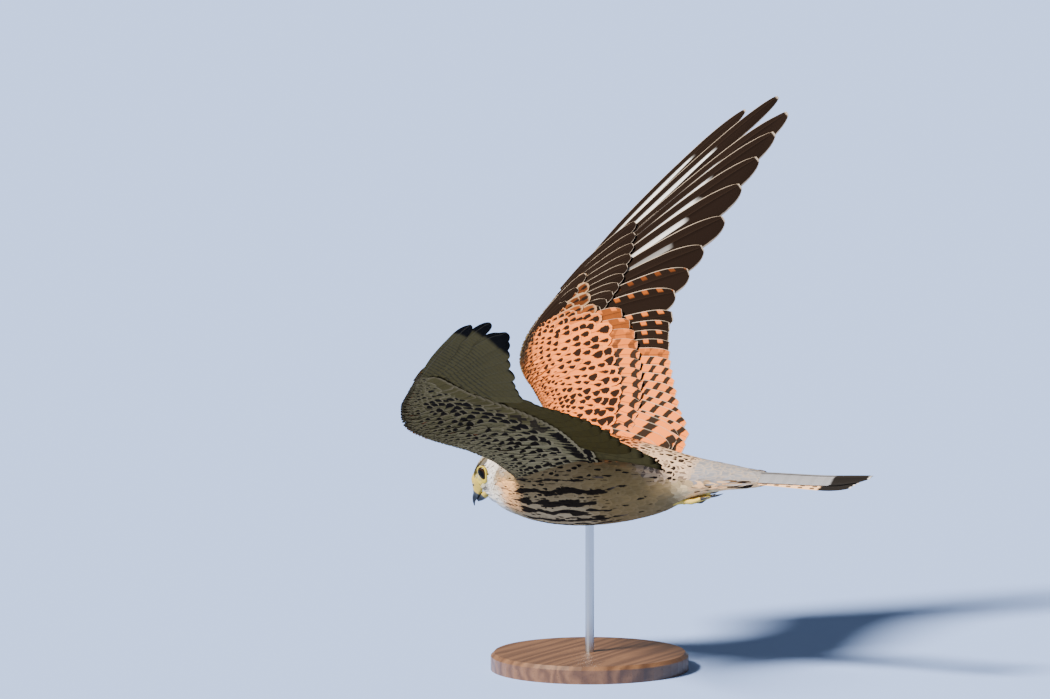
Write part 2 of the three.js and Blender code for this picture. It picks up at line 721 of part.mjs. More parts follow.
function makeWing(name, pose) {
  const chart = wingChart(pose);
  const feathers = [
    ...primaries(),
    ...[SECONDARIES, TERTIALS, SCAPULARS, GREATER_COVERTS].flatMap(alongEdge),
    ...[PRIMARY_COVERTS, ALULA].flatMap(fanned),
  ];
  const whole = joined([
    solidOf(fleshGeometry(chart)),
    ...feathers.map((feather) => solidOf(featherGeometry(chart, feather))),
  ]);
  const seam = solidOf(seamGeometry(chart));
  const pieces = whole.subtract(bodyTrim).subtract(seam).decompose();
  pieces.sort((a, b) => b.volume() - a.volume());
  const inwardness = (piece) => Math.abs(piece.boundingBox().min[0] + piece.boundingBox().max[0]);
  const [arm, hand] = pieces.slice(0, 2).sort((a, b) => inwardness(a) - inwardness(b));
  return [
    mesh(`wing_${name}_arm`, geometryOf(arm), COLOURS.back),
    mesh(`wing_${name}_hand`, geometryOf(hand), COLOURS.wing),
  ];
}

// Tail
function onTail(side) {
  return (across, back, lift) => {
    const t = (back - TAIL.root) / (TAIL.length - TAIL.root);
    return inBird(side * across, -back, lerp(TAIL.line[0], TAIL.line[1], t) + lift);
  };
}

function tailFeather(pair, side) {
  const { root, length, outerShort, spacing, step, top, front, middleFront, rear, rows } = TAIL;
  const lift = top - step * (pair + (side > 0 ? 0 : 0.4));
  return solidOf(featherGeometry(onTail(side), {
    root: [0.6 + spacing[0] * pair, root],
    tip: [0.6 + spacing[1] * pair, length - outerShort * pair],
    front: pair === 0 ? middleFront : front,
    rear: pair === 0 ? middleFront : rear,
    lift: [lift, lift],
    lean: -0.02,
    bow: 0,
    rows,
  }));
}

function tailCovert(index, lift) {
  const { count, across, root, length, outerShort, half, rows } = TAIL_COVERTS;
  const place = (index / (count - 1)) * 2 - 1;
  return solidOf(featherGeometry(onTail(1), {
    root: [across * 0.8 * place, root],
    tip: [across * place, length - outerShort * Math.abs(place)],
    front: half,
    rear: half,
    lift,
    lean: lift[0] > 0 ? 0.06 : -0.06,
    bow: 0,
    rows,
  }));
}

function makeTail() {
  const stack = [];
  for (let pair = 0; pair < TAIL.pairs; pair += 1) {
    stack.push(tailFeather(pair, 1), tailFeather(pair, -1));
  }
  for (let i = 0; i < TAIL_COVERTS.count; i += 1) {
    stack.push(tailCovert(i, TAIL_COVERTS.above), tailCovert(i, TAIL_COVERTS.below));
  }
  const rump = body.intersect(slice(TAIL_CUT - GAP / 2, tailEnd));
  const front = slice(noseTip, TAIL_CUT - GAP / 2);
  return mesh('tail', geometryOf(largest(joined([rump, ...stack]).subtract(front))), COLOURS.grey);
}

// Legs and claws
const footPlace = (side, [out, back, up]) => inBird(side * out, -back, up);

function makeLeg(name, side) {
  const { thigh, pad, shankRadius, padRadius, toeRadii } = FOOT;
  const at = (place) => footPlace(side, place);
  const ball = new THREE.SphereGeometry(padRadius, 10, 8);
  const shank = limb([at(thigh), at(pad)], [shankRadius, shankRadius], 10, 4);
  const toes = TOES.map(({ knuckle, tip }) => solidOf(limb([pad, knuckle, tip].map(at), toeRadii, 8, 6)));
  const whole = joined([
    solidOf(shank),
    solidOf(ball, new THREE.Matrix4().makeTranslation(at(pad))),
    ...toes,
  ]);
  return mesh(`leg_${name}`, geometryOf(largest(whole.subtract(bodyTrim))), COLOURS.yellow, 0.6);
}

// A claw goes on where its toe ends, and hooks up from there.
function makeClaw(name, side, toe, index) {
  const tip = footPlace(side, toe.tip);
  const along = tip.clone().sub(footPlace(side, toe.knuckle)).normalize();
  const end = footPlace(side, toe.claw);
  const root = tip.clone().addScaledVector(along, GAP);
  const bend = root.clone().addScaledVector(along, root.distanceTo(end) * 0.55);
  bend.z -= 0.6;
  const claw = limb([root, bend, end], FOOT.clawRadii, 7, 5);
  return mesh(`claw_${name}_${index + 1}`, claw, COLOURS.claw, 0.3);
}

// Stand
function makeStand() {
  const { radius, thickness, bevel, rodRadius, socketDepth } = STAND;
  const bottom = thickness - socketDepth;
  const room = rodRadius + GAP;
  const outline = [
    [0, 0], [radius, 0], [radius, thickness - bevel], [radius - bevel, thickness], [room, thickness],
    [room, bottom], [0, bottom],
  ].map(([x, y]) => new THREE.Vector2(x, y));
  const base = new THREE.LatheGeometry(outline, BASE_SIDES);
  base.rotateX(Math.PI / 2);
  const rodLow = bottom + GAP;
  const rod = new THREE.CylinderGeometry(rodRadius, rodRadius, rodHigh - rodLow, ROD_SIDES);
  rod.rotateX(Math.PI / 2);
  const rodMesh = mesh('stand_rod', rod, COLOURS.steel, 0.3, 1);
  rodMesh.position.z = (rodLow + rodHigh) / 2;
  return [mesh('stand_base', base, COLOURS.wood, 0.5), rodMesh];
}

const head = new THREE.Group();
head.position.copy(headPlace);
head.rotation.copy(headTurn);
head.add(makeHead(), ...makeBills(), makeEye(1), makeEye(-1));

const bird = new THREE.Group();
bird.position.copy(birdPlace);
bird.rotation.copy(birdTurn);
bird.add(makeTorso(), makeNeck(), head, makeTail());
bird.add(...makeWing('left', WING_POSES.left), ...makeWing('right', WING_POSES.right));
for (const [name, { side }] of Object.entries(WING_POSES)) {
  bird.add(makeLeg(name, side), ...TOES.map((toe, i) => makeClaw(name, side, toe, i)));
}

const kestrel = new THREE.Group();
kestrel.add(bird, ...makeStand());

export default kestrel;
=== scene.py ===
"""A life-size common kestrel in flight on a plain display stand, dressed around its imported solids.

Shapes are worked out in millimetres in the bird's own frame (left, back, up), whose origin lies midway
between the shoulders, and are turned into metres in the part's frame when a mesh is made.
"""

from __future__ import annotations

import logging
import math
from dataclasses import dataclass, field, fields
from enum import Enum
from typing import Any, Callable, Mapping, Sequence

import bpy
import numpy as np
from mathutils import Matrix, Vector

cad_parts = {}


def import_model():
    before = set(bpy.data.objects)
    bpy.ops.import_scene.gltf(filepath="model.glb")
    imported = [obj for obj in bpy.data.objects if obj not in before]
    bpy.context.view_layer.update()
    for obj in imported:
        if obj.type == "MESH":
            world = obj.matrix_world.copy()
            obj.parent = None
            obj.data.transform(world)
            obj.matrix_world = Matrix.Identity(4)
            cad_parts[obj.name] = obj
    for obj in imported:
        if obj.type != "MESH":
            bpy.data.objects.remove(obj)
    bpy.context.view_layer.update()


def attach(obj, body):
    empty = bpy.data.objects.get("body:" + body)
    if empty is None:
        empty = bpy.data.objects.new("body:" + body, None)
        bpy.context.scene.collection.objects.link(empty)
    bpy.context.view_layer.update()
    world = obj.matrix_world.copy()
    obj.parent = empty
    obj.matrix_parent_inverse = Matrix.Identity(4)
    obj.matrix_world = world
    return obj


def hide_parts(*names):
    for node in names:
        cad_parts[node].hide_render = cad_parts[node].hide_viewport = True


LOG = logging.getLogger("kestrel")
METRES = 0.001
BODY_NAME = "root"
BAKE_MAP = "OFBake"
VANE_MAP = "Vane"
# The width of a small feather's patch on the bake map.
PATCH = 0.003

Array = np.ndarray
Socket = bpy.types.NodeSocket
Material = bpy.types.Material
Colour = tuple[float, float, float]
Chart = Callable[[Array, Array, Array], Array]
Pair = Sequence[float]


class Curve:
    """A smooth line through the points of a table, flat beyond its ends."""

    def __init__(self, points: Sequence[Sequence[float]]) -> None:
        """Takes the points in order of their first number.

        Args:
            points: rows of place and value.
        """
        self.x, self.y = np.array(points, float).T
        last = len(self.x) - 1
        low = np.maximum(np.arange(last + 1) - 1, 0)
        high = np.minimum(np.arange(last + 1) + 1, last)
        self.slope = (self.y[high] - self.y[low]) / (self.x[high] - self.x[low])

    def __call__(self, at: Array | float) -> Array:
        """Gives the value at each place: a cubic between two points that keeps their slopes.

        Args:
            at: places along the line.

        Returns:
            The values there.
        """
        at = np.asarray(at, float)
        i = np.clip(np.searchsorted(self.x, at, side="right") - 1, 0, len(self.x) - 2)
        width = self.x[i + 1] - self.x[i]
        t = np.clip((at - self.x[i]) / width, 0, 1)
        rise = (self.y[i + 1] - self.y[i]) * t * t * (3 - 2 * t)
        ease = self.slope[i] * t * (1 - t) ** 2 - self.slope[i + 1] * t * t * (1 - t)
        return self.y[i] + rise + ease * width


def lerp(a: Array | float, b: Array | float, t: Array | float) -> Array | float:
    """Blends from a to b as t goes from 0 to 1."""
    return a + (b - a) * t


def smooth(x: Array | float, low: float, high: float) -> Array:
    """Rises smoothly from 0 at low to 1 at high."""
    t = np.clip((np.asarray(x, float) - low) / (high - low), 0, 1)
    return t * t * (3 - 2 * t)


def unit(v: Array) -> Array:
    """Scales each vector to length 1."""
    return v / np.maximum(np.linalg.norm(v, axis=-1, keepdims=True), 1e-9)


def turn_about(axis: int, degrees: float) -> Array:
    """Gives the matrix of a turn about axis 0, 1 or 2."""
    c, s = math.cos(math.radians(degrees)), math.sin(math.radians(degrees))
    i, j = ((1, 2), (2, 0), (0, 1))[axis]
    m = np.eye(3)
    m[i, i] = m[j, j] = c
    m[i, j], m[j, i] = -s, s
    return m


def superellipse(angle: Array, power: float) -> tuple[Array, Array]:
    """Gives the across and up reach of a rounded-square section at each angle."""
    c, s = np.cos(angle), np.sin(angle)
    return np.sign(c) * np.abs(c) ** (2 / power), np.sign(s) * np.abs(s) ** (2 / power)


def walked(path: Array) -> Array:
    """Gives the way walked along a path by each of its points."""
    return np.concatenate([[0], np.cumsum(np.linalg.norm(np.diff(path, axis=0), axis=1))])


def filled(table: Array | Sequence[Sequence[float]], count: int, index: Array | None = None) -> Array:
    """Fills in a table smoothly: each column becomes a curve over the index.

    Args:
        table: the rows to pass through.
        count: how many rows to give, evenly spread over the index.
        index: the place of each row, or none where each is one step on.

    Returns:
        The new rows.
    """
    table = np.array(table, float)
    index = np.arange(len(table)) if index is None else index
    at = np.linspace(0, index[-1], count)
    return np.stack([Curve(np.stack([index, column], axis=1))(at) for column in table.T], axis=1)


def stacked(count: int, *values: Array | float) -> Array:
    """Puts values side by side in rows, with plain numbers the same in every row."""
    return np.column_stack([np.broadcast_to(value, count) for value in values])


def painted(base: Array | Sequence[float], *coats: tuple[Sequence[float], Array]) -> Array:
    """Blends colours into rows of colours in turn, each by its own share for each row."""
    for colour, share in coats:
        base = lerp(np.asarray(base, float), np.asarray(colour, float), np.asarray(share)[:, None])
    return base


@dataclass(frozen=True)
class BirdPose:
    """How the bird is held over its base, in millimetres and degrees."""

    height: float = 130.0
    nose_down: float = 4.36
    bank: float = 11.45
    rod_back: float = 32.0

    @property
    def matrix(self) -> Array:
        """The turn from the bird's frame to the part's frame."""
        return turn_about(0, self.nose_down) @ turn_about(1, self.bank)

    @property
    def place(self) -> Array:
        """The place of the bird's origin in the part's frame, over the top of the rod."""
        shift = -self.matrix @ np.array([0, self.rod_back, 0])
        return np.array([shift[0], shift[1], self.height])

    def to_part(self, points: Array) -> Array:
        """Turns points in the bird's frame, in millimetres, into the part's frame, in metres."""
        return (points @ self.matrix.T + self.place) * METRES


POSE = BirdPose()


# Meshes


def put(into: Any, key: str, rows: Array, kind: type = np.float32) -> None:
    """Writes whole rows of numbers into one of a mesh's lists."""
    into.foreach_set(key, rows.astype(kind).ravel())


@dataclass
class Surface:
    """Points and faces that become one mesh.

    The maps hold a place for each corner of a face, the values four numbers for each point. Flat says which
    faces are flat, and normals holds the way out at each corner, where it isn't the mesh's own.
    """

    points: Array
    loops: Array
    starts: Array
    maps: dict[str, Array] = field(default_factory=dict)
    values: dict[str, Array] = field(default_factory=dict)
    flat: Array | None = None
    normals: Array | None = None

    def to_object(self, name: str) -> bpy.types.Object:
        """Makes the mesh in the part's frame and links its object to the scene.

        Args:
            name: the name of the piece.

        Returns:
            The new object, at the origin and unturned.
        """
        mesh = bpy.data.meshes.new(name)
        mesh.vertices.add(len(self.points))
        put(mesh.vertices, "co", POSE.to_part(self.points))
        mesh.loops.add(len(self.loops))
        put(mesh.loops, "vertex_index", self.loops, np.int32)
        mesh.polygons.add(len(self.starts))
        put(mesh.polygons, "loop_start", self.starts, np.int32)
        flat = np.zeros(len(self.starts), bool) if self.flat is None else self.flat
        put(mesh.polygons, "use_smooth", ~flat, bool)
        mesh.update(calc_edges=True)
        for map_name, uv in self.maps.items():
            put(mesh.uv_layers.new(name=map_name).data, "uv", uv)
        for value_name, rows in self.values.items():
            put(mesh.attributes.new(value_name, "FLOAT_COLOR", "POINT").data, "color", rows)
        mesh.validate()
        if self.normals is not None:
            mesh.normals_split_custom_set((self.normals @ POSE.matrix.T).astype(np.float32))
        made = bpy.data.objects.new(name, mesh)
        bpy.context.scene.collection.objects.link(made)
        return made


def merge(parts: Sequence[Surface]) -> Surface:
    """Puts several surfaces into one, with their faces renumbered."""
    point_shift = np.cumsum([0] + [len(part.points) for part in parts[:-1]])
    loop_shift = np.cumsum([0] + [len(part.loops) for part in parts[:-1]])
    flats = [np.zeros(len(p.starts), bool) if p.flat is None else p.flat for p in parts]
    return Surface(
        points=np.concatenate([part.points for part in parts]),
        loops=np.concatenate([p.loops + shift for p, shift in zip(parts, point_shift)]),
        starts=np.concatenate([p.starts + shift for p, shift in zip(parts, loop_shift)]),
        maps={key: np.concatenate([part.maps[key] for part in parts]) for key in parts[0].maps},
        values={key: np.concatenate([part.values[key] for part in parts]) for key in parts[0].values},
        flat=np.concatenate(flats),
    )


def grid_faces(rings: int, sides: int, ringed: bool = False, sided: bool = True) -> Array:
    """Gives the corners of a grid's faces of four.

    Args:
        rings: rows of the grid.
        sides: points in each row.
        ringed: whether the last row joins the first.
        sided: whether the end of each row joins its start.

    Returns:
        Four corners for each face.
    """
    ring, side = np.meshgrid(np.arange(rings - (not ringed)), np.arange(sides - (not sided)), indexing="ij")
    next_ring, next_side = (ring + 1) % rings, (side + 1) % sides
    ring, next_ring = ring * sides, next_ring * sides
    corners = [ring + side, ring + next_side, next_ring + next_side, next_ring + side]
    return np.stack(corners, axis=-1).reshape(-1, 4)


def end_faces(rings: int, sides: int) -> Array:
    """Gives the corners of the two faces that close the first and last row of a grid."""
    return np.stack([np.arange(sides)[::-1], np.arange(sides) + (rings - 1) * sides])


def face_starts(fours: int, sides: int) -> Array:
    """Gives where each face starts: faces of four corners first, then the two end faces."""
    return np.concatenate([np.arange(fours) * 4, fours * 4 + np.array([0, sides])])


def closed_grid(grid: Array) -> Surface:
    """Closes a grid of rings, each a loop round the shape, with one face at each end.

    Args:
        grid: points, as rings by sides by three.

    Returns:
        The closed surface, facing out.
    """
    rings, sides = grid.shape[:2]
    quads, ends = grid_faces(rings, sides), end_faces(rings, sides)
    points = grid.reshape(-1, 3)
    corners = points[quads] - points.mean(axis=0)
    volume = np.einsum("ij,ij->i", corners[:, 0], np.cross(corners[:, 1], corners[:, 2])).sum()
    if volume < 0:
        quads, ends = quads[:, ::-1], ends[:, ::-1]
    starts = face_starts(len(quads), sides)
    loops = np.concatenate([quads.ravel(), ends.ravel()])
    return Surface(points=points, loops=loops, starts=starts, flat=np.arange(len(starts)) >= len(quads))


def copied(points: Array, loops: Array, starts: Array, flat: Array, maps: dict[str, Array],
           values: dict[str, Array]) -> Surface:
    """Gives every feather of a batch the same faces over its own points.

    Args:
        points: places, as feathers by points by three.
        loops: corners of one feather's faces.
        starts: where each of its faces starts.
        flat: which of its faces are flat.
        maps: places of its corners on each map, for one feather or for each.
        values: four numbers for each feather.

    Returns:
        The batch as one surface.
    """
    count, size = points.shape[:2]
    feather, corners = np.arange(count)[:, None], len(loops)
    return Surface(
        points=points.reshape(-1, 3),
        loops=(loops + feather * size).ravel(),
        starts=(starts + feather * corners).ravel(),
        maps={name: np.broadcast_to(uv, (count, corners, 2)).reshape(-1, 2) for name, uv in maps.items()},
        values={name: np.repeat(rows, size, axis=0) for name, rows in values.items()},
        flat=np.tile(flat, count),
    )


# Body and head


class Trunk:
    """The feathered outline of the body and head, known by the distance of any point from it."""

    # Forward, rise of the middle line, half width, reach above it and below it.
    BODY = (
        (46, -8.5, 8.5, 8, 6), (42, -6.5, 13.5, 13, 11.5), (33, -2, 18.5, 18, 19.5),
        (24, 0.5, 22.5, 21, 25), (10, 1, 27.5, 25.5, 29.5), (-10, 1, 31, 29, 32.5),
        (-34, 1.5, 31.5, 30, 33.5), (-60, 1, 28, 26, 30.5),
        (-85, 0.3, 21.5, 20.2, 24.5), (-104, -0.2, 16.5, 15.8, 16.3), (-120, -0.8, 14, 12.4, 10.3),
        (-138, -1.2, 12.6, 9, 7), (-156, -1.6, 10.8, 5.2, 4.4), (-172, -2, 8, 2.2, 2),
    )
    HEAD = (
        (21.5, -5, 2.8, 4, 5.4), (19.5, -3, 5.4, 7, 8.6), (16.5, -1, 8.6, 7.6, 11.2),
        (12.5, 0, 11.8, 8.6, 12.8),
        (6, 0, 15, 10.8, 14), (-4, 0, 16.2, 13, 15), (-13, 0, 14.6, 13.6, 14.8), (-18.5, 0, 10.5, 10, 10.5),
        (-21, 0, 5, 5, 5),
    )
    HEAD_TURN = turn_about(2, 30) @ turn_about(0, 34) @ turn_about(1, -20)
    HEAD_PLACE = np.array([3.0, -35.9, 11.2])
    SQUARENESS = 2.15
    BLEND = 5.0
    TABLE_ROWS = 400

    def __init__(self) -> None:
        """Fills in the two tables of stations smoothly."""
        self.body = filled(self.BODY, self.TABLE_ROWS)
        self.head = filled(self.HEAD, self.TABLE_ROWS)

    def section(self, table: Array, forward: Array | float) -> tuple[Array, ...]:
        """Gives rise, half width, reach above and reach below at places along a table."""
        order = table[::-1]
        return tuple(np.interp(forward, order[:, 0], order[:, column]) for column in range(1, 5))

    def ring(self, table: Array, forward: Array | float, angle: Array, grow: float = 0) -> Array:
        """Gives points of the outline: a rounded oval across the line at each place forward."""
        rise, half, above, below = self.section(table, forward)
        across, up = superellipse(angle, self.SQUARENESS)
        reach = np.where(up > 0, above, below) + grow
        across, forward = np.broadcast_arrays((half + grow) * across, np.asarray(forward, float))
        return np.stack([across, -forward, rise + reach * up], axis=-1)

    def _oval_distance(self, table: Array, points: Array) -> Array:
        """Gives the distance from one outline: the radius less the outline's own radius that way."""
        forward = -points[..., 1]
        rise, half, above, below = self.section(table, forward)
        up = points[..., 2] - rise
        reach = np.where(up > 0, above, below)
        share = (np.abs(points[..., 0] / half) ** self.SQUARENESS
                 + np.abs(up / reach) ** self.SQUARENESS) ** (1 / self.SQUARENESS)
        radius = np.hypot(points[..., 0], up)
        around = radius - radius / np.maximum(share, 1e-4)
        return np.maximum(around, np.maximum(forward - table[0, 0], table[-1, 0] - forward))

    def to_head(self, points: Array) -> Array:
        """Turns points from the bird's frame into the head's."""
        return (points - self.HEAD_PLACE) @ self.HEAD_TURN

    def from_head(self, points: Array) -> Array:
        """Turns points from the head's frame into the bird's."""
        return points @ self.HEAD_TURN.T + self.HEAD_PLACE

    def distances(self, points: Array) -> tuple[Array, Array]:
        """Gives the distance of points from the body's outline and from the head's."""
        return self._oval_distance(self.body, points), self._oval_distance(self.head, self.to_head(points))

    def distance(self, points: Array) -> Array:
        """Gives the distance from both outlines joined by a soft fillet."""
        a, b = self.distances(points)
        t = np.clip(0.5 + 0.5 * (b - a) / self.BLEND, 0, 1)
        return lerp(b, a, t) - self.BLEND * t * (1 - t) - self.relief(points)

    def relief(self, points: Array) -> Array:
        """Gives how far the brow stands out over each eye, less the hollow between eye and bill."""
        local = self.to_head(points)
        forward, rise = -local[..., 1], local[..., 2]
        brow = 1.7 * np.exp(-((forward - 8) / 6) ** 2 - ((rise - 6.8) / 1.8) ** 2)
        hollow = 2.2 * np.exp(-((forward - 13.6) / 3.6) ** 2 - ((rise - 0.6) / 3.8) ** 2)
        return (brow - hollow) * smooth(np.abs(local[..., 0]), 5, 8)

    def normal(self, points: Array) -> Array:
        """Gives the way out of the outline: the steepest rise of the distance."""
        step = 0.4
        shifts = np.eye(3) * step
        rises = [self.distance(points + shift) - self.distance(points - shift) for shift in shifts]
        return unit(np.stack(rises, axis=-1))

    def settle(self, points: Array, level: Array | float, rounds: int = 3) -> Array:
        """Moves points along the way out until they lie at a level above the outline."""
        for _ in range(rounds):
            miss = np.clip(self.distance(points) - level, -3, 3)
            points = points - miss[..., None] * self.normal(points)
        return points

    def lie(self, points: Array, normals: Array) -> Array:
        """Gives the way the feathers lie: tailwards, and backwards from the bill on the head."""
        a, b = self.distances(points)
        on_head = smooth(a - b, -4, 4)[..., None]
        back_of_head = self.HEAD_TURN @ np.array([0, 1, 0])
        chin = smooth(-points[..., 1:2], 38, 45) * (1 - on_head)
        way = lerp(np.array([0, 1, 0]), back_of_head, on_head) - chin * np.array([0, 0, 0.9])
        return unit(way - normals * np.sum(way * normals, axis=-1, keepdims=True))


# Wings


class Side(Enum):
    """The two sides of the bird, as the sign of the way out."""

    LEFT = 1
    RIGHT = -1


class Face(Enum):
    """The two faces of a wing, as the sign of the way up."""

    UPPER = 1
    UNDER = -1


@dataclass(frozen=True)
class WingPose:
    """How one wing is held, in degrees and millimetres."""

    side: Side
    dihedral: tuple[float, float]
    twist: tuple[float, float]
    stretch: float
    slack: float


WING_POSES = (
    WingPose(Side.LEFT, (45.5, 42.1), (-0.8, 9.3), -1, 10),
    WingPose(Side.RIGHT, (33.6, 54.7), (-1.1, 6.1), 3, 0),
)


class WingChart:
    """A wing laid flat (out along the span, back along the chord, lift) and bent into its pose."""

    SHOULDER = (19.0, 8.0)
    BEND = (40.0, 190.0)
    WRIST_REACH = (30.0, 90.0, 110.0, 220.0)
    HAND_REACH = (108.0, 286.0)
    LAST = 300
    LEADING_EDGE = Curve([
        (-10, -11), (10, -14), (33, -19.5), (64, -40.5), (80, -53.5), (91, -58), (106, -54), (125, -42.5),
        (152, -25), (200, 11), (240, 51), (285, 97),
    ])
    TRAILING_EDGE = Curve([
        (-12, 80), (5, 99), (35, 85.3), (62, 74.6), (90, 63.6), (118, 55.5), (160, 64), (220, 88),
        (285, 110),
    ])
    CAMBER = Curve([(-10, 6.5), (90, 6), (150, 3), (285, 1)])
    FRONT_DROP = Curve([
        (-10, 1), (30, 1.5), (50, 3), (72, 7.5), (88, 7.5), (104, 3), (125, 0.5), (285, 0),
    ])
    REAR_RISE = Curve([(-10, 2), (30, 4), (60, 7), (90, 5), (118, 1), (150, 0), (285, 0)])
    FLESH_DEPTH = Curve([(-10, 13), (20, 12), (55, 9), (90, 8), (120, 5), (151, 2)])
    FLESH_REAR = Curve([
        (-10, 52), (16, 46), (34, 32), (60, 20), (90, 4), (110, -12), (130, -21), (151, -21.5),
    ])
    FLESH_END = 151.0
    FLESH_INSET = 5.0

    def __init__(self, pose: WingPose) -> None:
        """Lays out the span line: short steps along the dihedral, from the shoulder out.

        Args:
            pose: how the wing is held.
        """
        self.pose = pose
        angle = np.radians(self._blend(pose.dihedral, np.arange(self.LAST) + 0.5))
        steps = np.stack([np.cos(angle), np.sin(angle)], axis=1)
        self.span = np.concatenate([[self.SHOULDER], self.SHOULDER + np.cumsum(steps, axis=0)])

    def _blend(self, pair: tuple[float, float], out: Array) -> Array:
        """Changes from the first value to the second along the bend of the wing."""
        return lerp(pair[0], pair[1], smooth(out, *self.BEND))

    def surface(self, out: Array, back: Array) -> Array:
        """Gives the height of the wing's own surface: arched, with its front edge low."""
        middle = (self.LEADING_EDGE(out) + self.TRAILING_EDGE(out)) / 2
        half = (self.TRAILING_EDGE(out) - self.LEADING_EDGE(out)) / 2
        place = np.clip((back - middle) / half, -1.2, 1.2)
        slope = np.where(place < 0, self.FRONT_DROP(out), self.REAR_RISE(out))
        return self.CAMBER(out) * (1 - place ** 2) + slope * place * np.abs(place)

    def flesh_front(self, out: Array) -> Array:
        """Gives the front edge of the fleshy part, which draws in from the wing's own edge."""
        return self.LEADING_EDGE(out) + self.FLESH_INSET * smooth(out, self.BEND[0], self.FLESH_END)

    def teardrop(self, out: Array, t: Array) -> Array:
        """Gives half the thickness of the fleshy part, t of the way from its front to its rear."""
        return self.FLESH_DEPTH(out) / 2 * np.sin(np.pi * t ** 0.6) ** 0.8

    def flesh(self, out: Array, back: Array) -> Array:
        """Gives half the thickness of the fleshy part anywhere on the wing, nothing behind it."""
        front = self.flesh_front(out)
        t = np.clip((back - front) / np.maximum(self.FLESH_REAR(out) - front, 1), 0, 1)
        return self.teardrop(out, t) * (1 - smooth(out, self.FLESH_END - 25, self.FLESH_END + 5))

    def _forward(self, out: Array, back: Array) -> Array:
        """Gives how far the wrist is held forward and the hand's front edge drawn back."""
        start, full, hold, end = self.WRIST_REACH
        near_wrist = smooth(out, start, full) - smooth(out, hold, end)
        along = np.clip((out - self.HAND_REACH[0]) / (self.HAND_REACH[1] - self.HAND_REACH[0]), 0, 1)
        rear = (back - self.LEADING_EDGE(out)) / (self.TRAILING_EDGE(out) - self.LEADING_EDGE(out))
        slack = self.pose.slack * np.sin(np.pi * along) * np.clip(1 - rear, 0, 1)
        return self.pose.stretch * near_wrist - slack

    def __call__(self, out: Array, back: Array, lift: Array) -> Array:
        """Places points of the flat wing in the bird's frame."""
        out, back, lift = np.broadcast_arrays(*(np.asarray(v, float) for v in (out, back, lift)))
        rise = np.radians(self._blend(self.pose.dihedral, out))
        turn = np.radians(self._blend(self.pose.twist, out))
        above = lift + self.surface(out, back)
        square = above * np.cos(turn) - back * np.sin(turn)
        rearward = back * np.cos(turn) + above * np.sin(turn) - self._forward(out, back)
        steps = np.arange(self.LAST + 1)
        before = np.minimum(out, 0)
        x = np.interp(out, steps, self.span[:, 0]) + before * np.cos(rise)
        y = np.interp(out, steps, self.span[:, 1]) + before * np.sin(rise)
        return np.stack([
            self.pose.side.value * (x - square * np.sin(rise)), rearward, y + square * np.cos(rise),
        ], axis=-1)

    def up(self, out: Array, back: Array) -> Array:
        """Gives the way up out of the wing."""
        return unit(self(out, back, np.ones_like(out)) - self(out, back, np.zeros_like(out)))


# Feathers


@dataclass
class Plumes:
    """A batch of small feathers, with one row of each array for one feather.

    Each is a thin closed lens: arched over its shaft on top and flat beneath. Its shading follows the lie of
    the whole coat, so that the feathers run into each other.
    """

    shaft: Array
    up: Array
    half: Array
    tint: Array
    marks: Array
    place: Array

    STATIONS = np.array([0.0, 0.35, 0.68, 0.89, 1.0])
    WIDTHS = np.array([0.5, 0.9, 1.0, 0.80, 0.26])
    ARCH = 0.07
    ROUNDING = 0.12

    def chosen(self, keep: Array) -> Plumes:
        """Gives the feathers that are kept."""
        return Plumes(*(getattr(self, part.name)[keep] for part in fields(self)))

    def to_surface(self, columns: int = 5, grain: Callable[[Array], Array] | None = None) -> Surface:
        """Builds the feathers: sections across the shaft, joined along it.

        Args:
            columns: points across the top of each section.
            grain: gives each point its place in the streaks that run over many feathers, and their strength.

        Returns:
            The closed feathers as one surface.
        """
        count, rows = self.shaft.shape[:2]
        across = np.linspace(-1, 1, columns)
        aside = unit(np.cross(unit(np.gradient(self.shaft, axis=1)), self.up))
        half = (self.half[:, None] * self.WIDTHS)[..., None]
        reach = (half * across)[..., None]
        height = (half * self.ARCH * (1 - across ** 2))[..., None]
        points = self.shaft[:, :, None] + aside[:, :, None] * reach + self.up[:, :, None] * height

        top = grid_faces(rows, columns, sided=False)
        strip = np.arange(rows - 1) * columns
        under = np.stack([strip, strip + columns, strip + 2 * columns - 1, strip + columns - 1], axis=-1)
        loops = np.concatenate([top.ravel(), under.ravel(), end_faces(rows, columns).ravel()])
        starts = face_starts(len(top) + len(under), columns)
        is_under = np.zeros(len(loops))
        is_under[top.size:top.size + under.size] = 1
        u, v = (across[loops % columns] + 1) / 2, self.STATIONS[loops // columns]
        patch = np.stack([u - 0.5, (v - 0.5) * 0.5 + 0.25 - 0.5 * is_under], axis=-1) * PATCH
        made = copied(
            points.reshape(count, -1, 3), loops, starts, np.arange(len(starts)) >= len(top),
            {VANE_MAP: np.stack([u + 2 * is_under, v], axis=-1),
             BAKE_MAP: np.clip(self.place, 0.01, 0.99)[:, None] + patch},
            {"Tint": self.tint, "Marks": self.marks},
        )
        made.values["Grain"] = np.zeros((len(made.points), 4)) if grain is None else grain(made.points)
        calm = unit(self.up[:, :, None] + aside[:, :, None] * (self.ROUNDING * across)[:, None])
        calm = calm.reshape(count, -1, 3)[:, loops] * (1 - 2 * is_under)[:, None]
        made.normals = calm.reshape(-1, 3)
        return made


def join_plumes(batches: Sequence[Plumes]) -> Plumes:
    """Puts several batches of small feathers into one."""
    names = [part.name for part in fields(Plumes)]
    return Plumes(*(np.concatenate([getattr(batch, name) for batch in batches]) for name in names))


